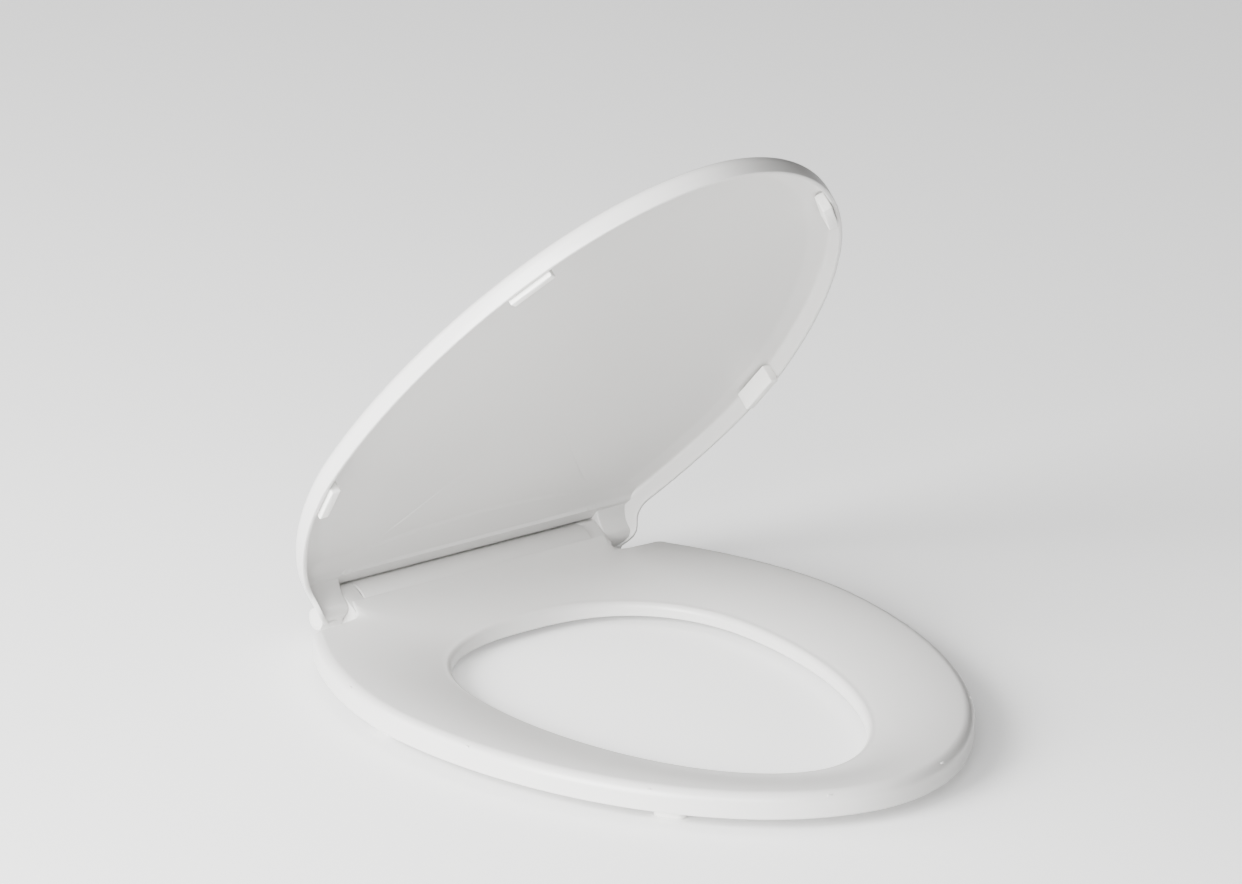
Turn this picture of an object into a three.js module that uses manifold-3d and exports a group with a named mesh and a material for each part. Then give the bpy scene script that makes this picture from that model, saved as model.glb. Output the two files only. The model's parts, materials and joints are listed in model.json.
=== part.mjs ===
// Slow-close elongated toilet seat with its lid, shown with the lid half open.
//
// Millimetres, +Z up, the front of the seat towards -Y. The origin is on the bowl's deck, midway
// between the two sockets that take the bowl's pins. The seat and the lid turn about one axis, which
// runs along X behind and above the origin. All solids are modelled about that axis, with the lid
// closed, and placed by their groups.

import * as THREE from 'three';
import { mergeVertices } from 'three/addons/utils/BufferGeometryUtils.js';
import Module from 'manifold-3d';

const wasm = await Module();
wasm.setup();

// ---------- Driving dimensions ----------

// Outline of the seat: two half superellipses that meet at the widest line.
const SEAT_HALF_WIDTH = 180;
const SEAT_WIDEST_Y = -167;
const SEAT_FRONT_REACH = 275;
const SEAT_REAR_REACH = 245;
const SEAT_FRONT_POWER = 1.93;
const SEAT_REAR_POWER = 1.8;
const SEAT_DEPTH = 16;
const SEAT_EDGE_RADIUS = 6.8;
const SEAT_SKIN = 3.2;

// Opening in the seat, whose edge lies lower than the crest of the top.
const OPENING_HALF_WIDTH = 104.8;
const OPENING_WIDEST_Y = -181;
const OPENING_FRONT_REACH = 195;
const OPENING_REAR_REACH = 116;
const OPENING_FRONT_POWER = 1.9;
const OPENING_REAR_POWER = 2.5;
const OPENING_EDGE_RADIUS = 4.2;
const OPENING_EDGE_DROP = 10.7;
const OPENING_WALL_BELOW_RIM = 3.5;
// How fast the top steepens towards the opening.
const TOP_FALL_POWER = 1.8;

// Lid
const LID_SIDE_INSET = 2;
const LID_FRONT_INSET = 1;
const LID_REAR_INSET = 2.5;
const LID_WIDEST_SHIFT = 2;
const LID_FRONT_POWER = 1.947;
const LID_REAR_POWER = 1.72;
const LID_DEPTH = 15;
const LID_EDGE_RADIUS = 7;
const LID_DOME = 2;
const LID_DOME_AT_BAND = 0.35;
const LID_DOME_AT_HALF = 0.8;
const LID_WALL = 3.2;
const LID_FLOOR = 2.6;
const LID_LEDGE_WIDTH = 15;
const LID_LEDGE_STEP = 1.8;
const LID_TO_SEAT = 3.1;
const LID_REST_ANGLE = THREE.MathUtils.degToRad(50.3);
const LID_RAMP_LENGTH = 28;
const LID_LAND_LENGTH = 11;

// Hinge barrel, with a lug of the seat and then an ear of the lid at each end.
const BARREL_RADIUS = 17.5;
const BARREL_HALF_LENGTH = 89;
const BARREL_TO_DECK = 3.5;
const COVER_WALL = 2;
const COVER_FRONT_ANGLE = THREE.MathUtils.degToRad(200);
const COVER_REAR_ANGLE = THREE.MathUtils.degToRad(-38);
const LUG_WIDTH = 12;
const EAR_WIDTH = 17;
const LIP_ANGLE = THREE.MathUtils.degToRad(137.8);
const LID_EDGE_ANGLE = THREE.MathUtils.degToRad(133.5);
const LID_TO_BARREL = 1.7;
const SEAT_RAMP_LENGTH = 49;
const SEAT_RAMP_FOOT = 6;
const REAR_WALL = 8;
const REAR_WALL_BEHIND_LIP = 2;
const SEAT_CORNER_RADIUS = 9;
const LUG_SLOPE_RUN = 19;
const LUG_SLOPE_DROP = 10;

// Each ear is a tab with a round lower end that stands in front of and above its own pivot boss.
const EAR_FACE_Y = -13.6;
const EAR_ROUND_Y = -1;
const EAR_ROUND_Z = 7;
const EAR_BOSS_RADIUS = 7.6;
const EAR_ROOT = 3.2;
const EAR_TOP_BELOW_LID = 1;

// Base plate and its quick-release sockets
const PLATE_FRONT_Y = -39;
const PLATE_REAR_Y = -7;
const PLATE_TO_SEAT = 1;
const WEB_HEIGHT = 14;
const SOCKET_SPACING = 140;
const SOCKET_Y = -21;
const SOCKET_RADIUS = 6.5;
const BUSH_WALL = 2;
const PAD_LENGTH = 34;
const PAD_WIDTH = 26;
const PAD_THICKNESS = 1;
const LATCH_WIDTH = 16;
const LATCH_THICKNESS = 1.6;
const LATCH_LEVEL = 2.4;
const LATCH_TRAVEL = 4;
const LATCH_TAB = 5;
const LATCH_TAB_TOP = 5;
const SCREW_SPACING = 28;
const SCREW_RADIUS = 1.6;
const SCREW_HEAD_RADIUS = 3.6;

// Rotary dampers and their shafts
const DAMPER_RADIUS = 10;
const DAMPER_LENGTH = 54;
const DAMPER_CAP_LENGTH = 4;
const ROTOR_RADIUS = 6;
const SHAFT_RADIUS = 4;
const SHAFT_FLAT = 2.8;
const DAMPER_END_WALL = 6;
const PIVOT_RADIUS = 2.4;
const BEARING_WALL = 1.4;
const EAR_CAP_RADIUS = 5.4;
const EAR_CAP_THICKNESS = 1.6;

// Bumpers. Each place is the angle of the outline's formula, from +X towards the rear.
const SEAT_BUMPER_HEIGHT = 9;
const SEAT_BUMPER_LENGTH = 21;
const SEAT_BUMPER_WIDTH = 10;
const SEAT_BUMPER_INSET = 18;
const STEM_RADIUS = 2.6;
const STEM_LENGTH = 6;
const LID_BUMPER_LENGTH = 32;
const LID_BUMPER_WIDTH = 5;
const FRONT_BUMPER_ANGLE = THREE.MathUtils.degToRad(-47);
const REAR_BUMPER_ANGLE = THREE.MathUtils.degToRad(8);

// Ribs under the seat
const RIB_THICKNESS = 2.4;
const RIB_COUNT = 12;
const RIB_TO_RIM = 3;

// Clearances: FIT between pieces that touch, RUN between pieces that turn past each other.
const FIT = 0.3;
const RUN = 0.4;

// ---------- Sizes that follow from them ----------

const AXIS_Z = BARREL_RADIUS + BARREL_TO_DECK;
const SEAT_BOTTOM = SEAT_BUMPER_HEIGHT - AXIS_Z;
const SEAT_TOP = SEAT_BOTTOM + SEAT_DEPTH;
const LID_RIM = SEAT_TOP + LID_TO_SEAT;
const LID_TOP = LID_RIM + LID_DEPTH;
const LUG_INNER = BARREL_HALF_LENGTH + RUN;
const LUG_OUTER = LUG_INNER + LUG_WIDTH;
const EAR_INNER = LUG_OUTER + RUN;
const EAR_OUTER = EAR_INNER + EAR_WIDTH;
const GROOVE_RADIUS = BARREL_RADIUS + RUN;
const NOTCH_RADIUS = BARREL_RADIUS + 2 * RUN;
const LIP_Y = GROOVE_RADIUS * Math.cos(LIP_ANGLE);
const LIP_Z = GROOVE_RADIUS * Math.sin(LIP_ANGLE);
const HOOD_RADIUS = BARREL_RADIUS + LID_TO_BARREL;
const LID_EDGE_Y = HOOD_RADIUS * Math.cos(LID_EDGE_ANGLE);
const LID_EDGE_Z = HOOD_RADIUS * Math.sin(LID_EDGE_ANGLE);
const PLATE_THICKNESS = SEAT_BUMPER_HEIGHT - PLATE_TO_SEAT;
const DAMPER_OUTER = BARREL_HALF_LENGTH - DAMPER_CAP_LENGTH - FIT;
const DAMPER_INNER = DAMPER_OUTER - DAMPER_LENGTH;
const DECK = -AXIS_Z;

// Far enough to pass right through the whole seat in a cut.
const FAR = 2 * (SEAT_FRONT_REACH + SEAT_REAR_REACH);
const SIDES = { left: -1, right: 1 };

// ---------- Solids ----------

function solidOf(geometry) {
  const bare = geometry.clone();
  bare.deleteAttribute('normal');
  bare.deleteAttribute('uv');
  const merged = mergeVertices(bare);
  const corners = merged.index.array;
  const triangles = [];
  for (let i = 0; i < corners.length; i += 3) {
    const [a, b, c] = [corners[i], corners[i + 1], corners[i + 2]];
    if (a !== b && b !== c && c !== a) {
      triangles.push(a, b, c);
    }
  }
  return new wasm.Manifold(new wasm.Mesh({
    numProp: 3,
    vertProperties: new Float32Array(merged.attributes.position.array),
    triVerts: new Uint32Array(triangles),
  }));
}

function geometryOf(solid) {
  const mesh = solid.getMesh();
  const geometry = new THREE.BufferGeometry();
  geometry.setAttribute('position', new THREE.BufferAttribute(mesh.vertProperties, 3));
  geometry.setIndex(new THREE.BufferAttribute(mesh.triVerts, 1));
  return geometry;
}

function block(x0, x1, y0, y1, z0, z1) {
  const geometry = new THREE.BoxGeometry(Math.abs(x1 - x0), y1 - y0, z1 - z0);
  geometry.translate((x0 + x1) / 2, (y0 + y1) / 2, (z0 + z1) / 2);
  return solidOf(geometry);
}

// A round bar along X, centred on the hinge axis.
function rod(radius, from, to, segments = 24) {
  const geometry = new THREE.CylinderGeometry(radius, radius, Math.abs(to - from), segments);
  geometry.rotateZ(Math.PI / 2);
  geometry.translate((from + to) / 2, 0, 0);
  return solidOf(geometry);
}

// A round post along Z.
function post(radius, x, y, z0, z1, segments = 24) {
  const geometry = new THREE.CylinderGeometry(radius, radius, z1 - z0, segments);
  geometry.rotateX(Math.PI / 2);
  geometry.translate(x, y, (z0 + z1) / 2);
  return solidOf(geometry);
}

// A side view, drawn in Y and Z, carried along X.
function alongX(shape, from, to, curveSegments = 12) {
  const geometry = new THREE.ExtrudeGeometry(shape, {
    depth: Math.abs(to - from),
    bevelEnabled: false,
    curveSegments,
  });
  const toYZ = new THREE.Matrix4().makeBasis(
    new THREE.Vector3(0, 1, 0), new THREE.Vector3(0, 0, 1), new THREE.Vector3(1, 0, 0));
  geometry.applyMatrix4(toYZ);
  geometry.translate(Math.min(from, to), 0, 0);
  return solidOf(geometry);
}

// A bar with two flats, which turns the piece it passes through.
function flattedRod(radius, flat, from, to) {
  return rod(radius, from, to).intersect(block(from, to, -radius, radius, -flat, flat));
}

// ---------- Outlines ----------

function outline(halfWidth, widestY, front, rear, frontPower, rearPower) {
  return (angle) => {
    const across = Math.cos(angle);
    const along = Math.sin(angle);
    const power = 2 / (along < 0 ? frontPower : rearPower);
    const reach = along < 0 ? front : rear;
    return new THREE.Vector2(
      halfWidth * Math.sign(across) * Math.abs(across) ** power,
      widestY + reach * Math.sign(along) * Math.abs(along) ** power,
    );
  };
}

const seatOutline = outline(SEAT_HALF_WIDTH, SEAT_WIDEST_Y, SEAT_FRONT_REACH, SEAT_REAR_REACH,
  SEAT_FRONT_POWER, SEAT_REAR_POWER);
const lidOutline = outline(SEAT_HALF_WIDTH - LID_SIDE_INSET, SEAT_WIDEST_Y - LID_WIDEST_SHIFT,
  SEAT_FRONT_REACH - LID_WIDEST_SHIFT - LID_FRONT_INSET,
  SEAT_REAR_REACH + LID_WIDEST_SHIFT - LID_REAR_INSET, LID_FRONT_POWER, LID_REAR_POWER);
const openingOutline = outline(OPENING_HALF_WIDTH, OPENING_WIDEST_Y, OPENING_FRONT_REACH,
  OPENING_REAR_REACH, OPENING_FRONT_POWER, OPENING_REAR_POWER);

// The point of an outline moved outwards by a distance, with its outward direction.
function offsetPoint(curve, angle, distance) {
  const step = 0.002;
  const ahead = curve(angle + step);
  const tangent = ahead.sub(curve(angle - step)).normalize();
  const outwards = new THREE.Vector2(tangent.y, -tangent.x);
  const place = curve(angle).addScaledVector(outwards, distance);
  return { place, outwards };
}

// A turned profile whose circles are stretched to outlines. `plan` gives the place of a point from
// its angle and its radius in the profile.
function stretchedLathe(profile, steps, plan) {
  const points = profile.map(([radius, height]) => new THREE.Vector2(radius, height));
  const geometry = new THREE.LatheGeometry(points, steps);
  geometry.rotateX(Math.PI / 2);
  const position = geometry.attributes.position;
  for (let i = 0; i < position.count; i += 1) {
    const angle = Math.atan2(position.getY(i), position.getX(i));
    const radius = Math.hypot(position.getX(i), position.getY(i));
    const place = plan(angle, radius);
    position.setXYZ(i, place.x, place.y, position.getZ(i));
  }
  return solidOf(geometry);
}

// ---------- Seat ----------

const SEAT_STEPS = 80;
const EDGE_BAND = 12;

// In the seat's profile the opening's edge has this radius and the outer edge has the other.
const PROFILE_INNER = 100;
const PROFILE_OUTER = 200;

function seatPlan(angle, radius) {
  const innerEnd = PROFILE_INNER + EDGE_BAND;
  const outerStart = PROFILE_OUTER - EDGE_BAND;
  if (radius <= innerEnd) {
    return offsetPoint(openingOutline, angle, radius - PROFILE_INNER).place;
  }
  if (radius >= outerStart) {
    return offsetPoint(seatOutline, angle, radius - PROFILE_OUTER).place;
  }
  const share = (radius - innerEnd) / (outerStart - innerEnd);
  const inner = offsetPoint(openingOutline, angle, EDGE_BAND).place;
  return inner.lerp(offsetPoint(seatOutline, angle, -EDGE_BAND).place, share);
}

// The top falls towards the opening, steeper the nearer it gets.
function seatTop(radius) {
  const inner = PROFILE_INNER + OPENING_EDGE_RADIUS;
  const outer = PROFILE_OUTER - SEAT_EDGE_RADIUS;
  const share = THREE.MathUtils.clamp((radius - inner) / (outer - inner), 0, 1);
  return SEAT_TOP - OPENING_EDGE_DROP * (1 - share) ** TOP_FALL_POWER;
}

// The bend of the ramp's curve: its height, and how far before the lip it lies.
const RAMP_BEND_Z = 1.6;
const RAMP_BEND_SHARE = 0.28;

// Behind the opening a concave ramp climbs to the lip in front of the barrel. `drop` lowers it, for
// the hollow below it.
function seatRamp(drop) {
  const shape = new THREE.Shape();
  const floor = SEAT_BOTTOM - OPENING_WALL_BELOW_RIM - drop;
  const rampFront = LIP_Y - SEAT_RAMP_LENGTH;
  const bendY = LIP_Y - RAMP_BEND_SHARE * SEAT_RAMP_LENGTH;
  shape.moveTo(rampFront, -SEAT_RAMP_FOOT - drop);
  shape.quadraticCurveTo(bendY, RAMP_BEND_Z - drop, LIP_Y, LIP_Z - drop);
  shape.lineTo(LIP_Y, floor);
  shape.lineTo(rampFront, floor);
  shape.closePath();
  return alongX(shape, drop - LUG_OUTER, LUG_OUTER - drop, 8);
}

function arcPoints(centreR, centreZ, radius, from, to, count) {
  const points = [];
  for (let i = 0; i <= count; i += 1) {
    const angle = from + (to - from) * i / count;
    points.push([centreR + radius * Math.cos(angle), centreZ + radius * Math.sin(angle)]);
  }
  return points;
}

function seatSolid() {
  const openingBottom = SEAT_BOTTOM - OPENING_WALL_BELOW_RIM;
  const openingEdge = SEAT_TOP - OPENING_EDGE_DROP;
  const topRadii = [0.15, 0.32, 0.52, 0.75].map((share) => (
    PROFILE_INNER + OPENING_EDGE_RADIUS + share * (PROFILE_OUTER - PROFILE_INNER - SEAT_EDGE_RADIUS)));
  const profile = [
    [PROFILE_OUTER, SEAT_BOTTOM],
    ...arcPoints(PROFILE_OUTER - SEAT_EDGE_RADIUS, SEAT_TOP - SEAT_EDGE_RADIUS, SEAT_EDGE_RADIUS,
      0, Math.PI / 2, 4),
    ...topRadii.reverse().map((radius) => [radius, seatTop(radius)]),
    ...arcPoints(PROFILE_INNER + OPENING_EDGE_RADIUS, openingEdge - OPENING_EDGE_RADIUS,
      OPENING_EDGE_RADIUS, Math.PI / 2, Math.PI, 3),
    [PROFILE_INNER, openingBottom],
    [PROFILE_INNER + SEAT_SKIN, openingBottom],
    [PROFILE_INNER + SEAT_SKIN + 1, SEAT_BOTTOM],
    [PROFILE_OUTER, SEAT_BOTTOM],
  ];
  const ring = stretchedLathe(profile, SEAT_STEPS, seatPlan);
  const behindOpening = seatRamp(0).subtract(block(-FAR, FAR, -FAR, FAR, -FAR, SEAT_BOTTOM));
  return ring.add(behindOpening);
}

// The hollow under the seat's skin, open below.
function seatHollow() {
  const inner = PROFILE_INNER + SEAT_SKIN + 1;
  const outer = PROFILE_OUTER - SEAT_SKIN;
  const roofRadii = [0.97, 0.7, 0.4, 0.15, 0].map((share) => inner + share * (outer - inner));
  const profile = [
    [outer, SEAT_BOTTOM - OPENING_WALL_BELOW_RIM - 1],
    [outer, SEAT_TOP - SEAT_EDGE_RADIUS],
    ...roofRadii.map((radius) => [radius, seatTop(radius) - SEAT_SKIN]),
    [inner, SEAT_BOTTOM - OPENING_WALL_BELOW_RIM - 1],
    [outer, SEAT_BOTTOM - OPENING_WALL_BELOW_RIM - 1],
  ];
  const hollow = stretchedLathe(profile, SEAT_STEPS, seatPlan)
    .add(seatRamp(SEAT_SKIN).intersect(stretchedLathe([
      [inner, -FAR], [outer, -FAR], [outer, FAR], [inner, FAR], [inner, -FAR],
    ], SEAT_STEPS, seatPlan)));
  const rearWall = block(-FAR, FAR, LIP_Y - REAR_WALL, FAR, -FAR, FAR);
  return hollow.subtract(rearWall);
}

// Where the ribs and the bumpers' bosses stand, the hollow is left out.
function seatRibs() {
  const ribs = [];
  const ribBottom = SEAT_BOTTOM + RIB_TO_RIM;
  for (let i = 0; i < RIB_COUNT; i += 1) {
    const angle = (i + 0.5) * 2 * Math.PI / RIB_COUNT;
    const inner = openingOutline(angle);
    const outer = seatOutline(angle);
    const rib = new THREE.BoxGeometry(inner.distanceTo(outer) + SEAT_SKIN, RIB_THICKNESS, FAR);
    rib.rotateZ(Math.atan2(outer.y - inner.y, outer.x - inner.x));
    rib.translate((inner.x + outer.x) / 2, (inner.y + outer.y) / 2, ribBottom + FAR / 2);
    ribs.push(solidOf(rib));
  }
  return ribs;
}

function bumperPlace(curve, angle, inset) {
  const { place, outwards } = offsetPoint(curve, angle, -inset);
  return { x: place.x, y: place.y, turn: Math.atan2(outwards.y, outwards.x) + Math.PI / 2 };
}

const BUMPER_ANGLES = {
  front_left: Math.PI - FRONT_BUMPER_ANGLE,
  front_right: FRONT_BUMPER_ANGLE,
  rear_left: Math.PI - REAR_BUMPER_ANGLE,
  rear_right: REAR_BUMPER_ANGLE,
};

function seatBosses() {
  return Object.values(BUMPER_ANGLES).map((angle) => {
    const { x, y, turn } = bumperPlace(seatOutline, angle, SEAT_BUMPER_INSET);
    const boss = new THREE.BoxGeometry(SEAT_BUMPER_LENGTH + 2, SEAT_BUMPER_WIDTH + 2, FAR);
    boss.rotateZ(turn);
    boss.translate(x, y, SEAT_BOTTOM + FAR / 2);
    return solidOf(boss);
  });
}

// The ring's rear corners are rounded where its side meets the notch for the ear.
function cornerCut(side) {
  const centreY = -NOTCH_RADIUS - SEAT_CORNER_RADIUS;
  const along = (centreY - SEAT_WIDEST_Y) / SEAT_REAR_REACH;
  const outlineX = SEAT_HALF_WIDTH * (1 - along ** SEAT_REAR_POWER) ** (1 / SEAT_REAR_POWER);
  const slope = Math.atan((along / (outlineX / SEAT_HALF_WIDTH)) ** (SEAT_REAR_POWER - 1)
    * SEAT_HALF_WIDTH / SEAT_REAR_REACH);
  const centreX = outlineX - SEAT_CORNER_RADIUS / Math.cos(slope);
  const shape = new THREE.Shape();
  shape.absarc(centreX, centreY, SEAT_CORNER_RADIUS, Math.PI / 2, slope, true);
  shape.lineTo(outlineX + SEAT_CORNER_RADIUS, centreY + SEAT_CORNER_RADIUS);
  shape.lineTo(outlineX + SEAT_CORNER_RADIUS, 2 * SEAT_CORNER_RADIUS + centreY);
  shape.lineTo(centreX, 2 * SEAT_CORNER_RADIUS + centreY);
  shape.closePath();
  const geometry = new THREE.ExtrudeGeometry(shape, { depth: FAR, bevelEnabled: false, curveSegments: 8 });
  geometry.translate(0, 0, -FAR / 2);
  const cut = solidOf(geometry);
  return side > 0 ? cut : cut.mirror([1, 0, 0]);
}

// Each lug's top falls in a straight slope towards the ring.
function lugSlope(side) {
  const shape = new THREE.Shape();
  shape.moveTo(0, BARREL_RADIUS);
  shape.lineTo(-LUG_SLOPE_RUN, BARREL_RADIUS - LUG_SLOPE_DROP);
  shape.lineTo(-LUG_SLOPE_RUN, 2 * BARREL_RADIUS);
  shape.lineTo(0, 2 * BARREL_RADIUS);
  shape.closePath();
  return alongX(shape, side * LUG_INNER, side * LUG_OUTER);
}

// The bore of a lug: a bearing on the left and two flats for the damper's shaft on the right.
function lugBores() {
  const left = rod(SHAFT_RADIUS + BEARING_WALL + 2 * FIT, -LUG_OUTER - 1, -LUG_INNER + 1);
  const right = flattedRod(SHAFT_RADIUS + FIT, SHAFT_FLAT + FIT, LUG_INNER - 1, LUG_OUTER + 1);
  return left.add(right);
}

function seatRing() {
  const ribsAndBosses = [...seatRibs(), ...seatBosses()];
  const hollow = ribsAndBosses.reduce((space, piece) => space.subtract(piece), seatHollow());
  let seat = seatSolid().subtract(hollow);
  seat = seat.subtract(block(-FAR, FAR, LIP_Y + REAR_WALL_BEHIND_LIP, FAR, -FAR, FAR));
  for (const side of Object.values(SIDES)) {
    seat = seat.subtract(block(side * LUG_OUTER, side * FAR, -NOTCH_RADIUS, FAR, -FAR, FAR));
    seat = seat.add(rod(BARREL_RADIUS, side * LUG_INNER, side * LUG_OUTER, 40));
    seat = seat.subtract(cornerCut(side)).subtract(lugSlope(side));
  }
  seat = seat.subtract(rod(GROOVE_RADIUS, -LUG_INNER, LUG_INNER, 48));
  const stemTop = SEAT_BOTTOM + STEM_LENGTH + FIT;
  for (const angle of Object.values(BUMPER_ANGLES)) {
    const { x, y } = bumperPlace(seatOutline, angle, SEAT_BUMPER_INSET);
    seat = seat.subtract(post(STEM_RADIUS + FIT, x, y, SEAT_BOTTOM - 1, stemTop, 12));
  }
  return geometryOf(seat.subtract(lugBores()));
}

// A rubber foot with a stem that is pushed into the seat.
function seatBumper() {
  const half = (SEAT_BUMPER_LENGTH - SEAT_BUMPER_WIDTH) / 2;
  const bevel = 1;
  const radius = SEAT_BUMPER_WIDTH / 2 - bevel;
  const shape = new THREE.Shape();
  shape.absarc(half, 0, radius, -Math.PI / 2, Math.PI / 2);
  shape.absarc(-half, 0, radius, Math.PI / 2, 3 * Math.PI / 2);
  const pad = new THREE.ExtrudeGeometry(shape, {
    depth: SEAT_BUMPER_HEIGHT - FIT - 2 * bevel,
    bevelSize: bevel,
    bevelThickness: bevel,
    bevelSegments: 1,
    curveSegments: 5,
  });
  pad.translate(0, 0, bevel);
  const top = SEAT_BUMPER_HEIGHT - FIT;
  const stem = post(STEM_RADIUS, 0, 0, top - 1, top + STEM_LENGTH, 12);
  return geometryOf(solidOf(pad).add(stem));
}

// ---------- Lid ----------

const LID_STEPS = 80;

// In the lid's profile the outer edge has the seat's profile radius. The band inside the edge keeps
// its width all round, and the rest shrinks evenly to the middle.
const LID_BAND = 30;
const LID_MIDDLE = new THREE.Vector2(0, SEAT_WIDEST_Y);

function lidPlan(angle, radius) {
  const bandStart = PROFILE_OUTER - LID_BAND;
  if (radius >= bandStart) {
    return offsetPoint(lidOutline, angle, radius - PROFILE_OUTER).place;
  }
  const edge = offsetPoint(lidOutline, angle, -LID_BAND).place;
  return LID_MIDDLE.clone().lerp(edge, radius / bandStart);
}

function lidOuterProfile() {
  return [
    [PROFILE_OUTER, LID_RIM + 1],
    ...arcPoints(PROFILE_OUTER - LID_EDGE_RADIUS, LID_TOP - LID_EDGE_RADIUS, LID_EDGE_RADIUS,
      0, Math.PI / 2, 4),
    [PROFILE_OUTER - LID_BAND, LID_TOP + LID_DOME_AT_BAND * LID_DOME],
    [PROFILE_OUTER / 2, LID_TOP + LID_DOME_AT_HALF * LID_DOME],
    [0, LID_TOP + LID_DOME],
  ];
}

// The whole lid as a solid body, before its inside is taken out.
function lidBody() {
  const profile = [
    [0, LID_RIM],
    [PROFILE_OUTER - 1, LID_RIM],
    ...lidOuterProfile(),
  ];
  return stretchedLathe(profile, LID_STEPS, lidPlan);
}

// The inside: a straight wall, a shallow sloping ledge and the floor.
function lidInside() {
  const wall = PROFILE_OUTER - LID_WALL;
  const floor = LID_TOP - LID_FLOOR;
  const profile = [
    [0, LID_RIM - 1],
    [wall, LID_RIM - 1],
    [wall - 0.6, floor - LID_LEDGE_STEP - 0.8],
    [wall - 1.6, floor - LID_LEDGE_STEP],
    [wall - LID_LEDGE_WIDTH, floor],
    [PROFILE_OUTER / 2, floor + LID_DOME_AT_HALF * LID_DOME],
    [0, floor + LID_DOME],
  ];
  return stretchedLathe(profile, LID_STEPS, lidPlan);
}

// Behind, the floor comes down a ramp to a land, whose edge lies just over the seat's lip. From that
// edge a hood reaches back over the top of the barrel.
function lidRear() {
  const landFront = LID_EDGE_Y - LID_LAND_LENGTH;
  const shape = new THREE.Shape();
  shape.moveTo(0, FAR);
  shape.lineTo(landFront - LID_RAMP_LENGTH, FAR);
  shape.lineTo(landFront - LID_RAMP_LENGTH, LID_TOP - LID_FLOOR);
  shape.lineTo(landFront, LID_EDGE_Z + 1);
  shape.lineTo(LID_EDGE_Y, LID_EDGE_Z);
  shape.absarc(0, 0, HOOD_RADIUS, LID_EDGE_ANGLE, Math.PI / 2, true);
  shape.closePath();
  return alongX(shape, -FAR, FAR, 6);
}

// Side view of an ear: a flat front face, a round lower end and the boss about the hinge axis.
function earSolid(side) {
  const roundRadius = EAR_ROUND_Y - EAR_FACE_Y;
  const rootFront = EAR_FACE_Y - EAR_ROOT;
  const shape = new THREE.Shape();
  shape.moveTo(0, LID_TOP - EAR_TOP_BELOW_LID);
  shape.lineTo(rootFront, LID_TOP - EAR_TOP_BELOW_LID);
  shape.lineTo(rootFront, LID_RIM + EAR_ROOT);
  shape.quadraticCurveTo(EAR_FACE_Y, LID_RIM + EAR_ROOT, EAR_FACE_Y, EAR_ROUND_Z);
  shape.absarc(EAR_ROUND_Y, EAR_ROUND_Z, roundRadius, Math.PI, 3 * Math.PI / 2);
  shape.lineTo(0, EAR_ROUND_Z - roundRadius);
  shape.closePath();
  const tab = alongX(shape, side * EAR_INNER, side * EAR_OUTER, 12);
  return tab.add(rod(EAR_BOSS_RADIUS, side * EAR_INNER, side * EAR_OUTER, 32));
}

// The left ear is turned by the lid damper's shaft. The right ear turns on the pin of the other.
function earBores() {
  const left = flattedRod(SHAFT_RADIUS + FIT, SHAFT_FLAT + FIT, -EAR_OUTER - 1, -EAR_INNER + 1);
  const right = rod(PIVOT_RADIUS + BEARING_WALL + 2 * FIT, EAR_INNER - 1, EAR_OUTER + 1);
  let bores = left.add(right);
  for (const side of Object.values(SIDES)) {
    const seatOfCap = EAR_OUTER - EAR_CAP_THICKNESS - FIT;
    bores = bores.add(rod(EAR_CAP_RADIUS + FIT, side * seatOfCap, side * (EAR_OUTER + 1)));
  }
  return bores;
}

function lidShell() {
  const body = lidBody();
  const rear = body.intersect(lidRear());
  let lid = body.subtract(lidInside()).add(rear);
  lid = lid.subtract(block(-FAR, FAR, 0, FAR, -FAR, FAR));
  lid = lid.subtract(rod(HOOD_RADIUS, -EAR_INNER, EAR_INNER, 48));
  for (const side of Object.values(SIDES)) {
    const corner = block(side * EAR_INNER, side * FAR, LID_EDGE_Y, FAR, -FAR, FAR);
    lid = lid.subtract(corner).add(earSolid(side));
  }
  return geometryOf(lid.subtract(earBores()));
}

// A rubber strip that stands against the inside of the lid's wall.
function lidBumper() {
  const bottom = SEAT_TOP + FIT;
  const top = LID_TOP - LID_FLOOR - LID_LEDGE_STEP - 1;
  const bevel = 1;
  const shape = new THREE.Shape();
  const halfLength = LID_BUMPER_LENGTH / 2 - bevel;
  const halfWidth = LID_BUMPER_WIDTH / 2 - bevel;
  shape.moveTo(-halfLength, -halfWidth);
  shape.lineTo(halfLength, -halfWidth);
  shape.lineTo(halfLength, halfWidth);
  shape.lineTo(-halfLength, halfWidth);
  shape.closePath();
  const strip = new THREE.ExtrudeGeometry(shape, {
    depth: top - bottom - 2 * bevel,
    bevelSize: bevel,
    bevelThickness: bevel,
    bevelSegments: 1,
  });
  strip.translate(0, 0, bottom + bevel);
  return strip;
}

// ---------- Hinge base ----------

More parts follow.
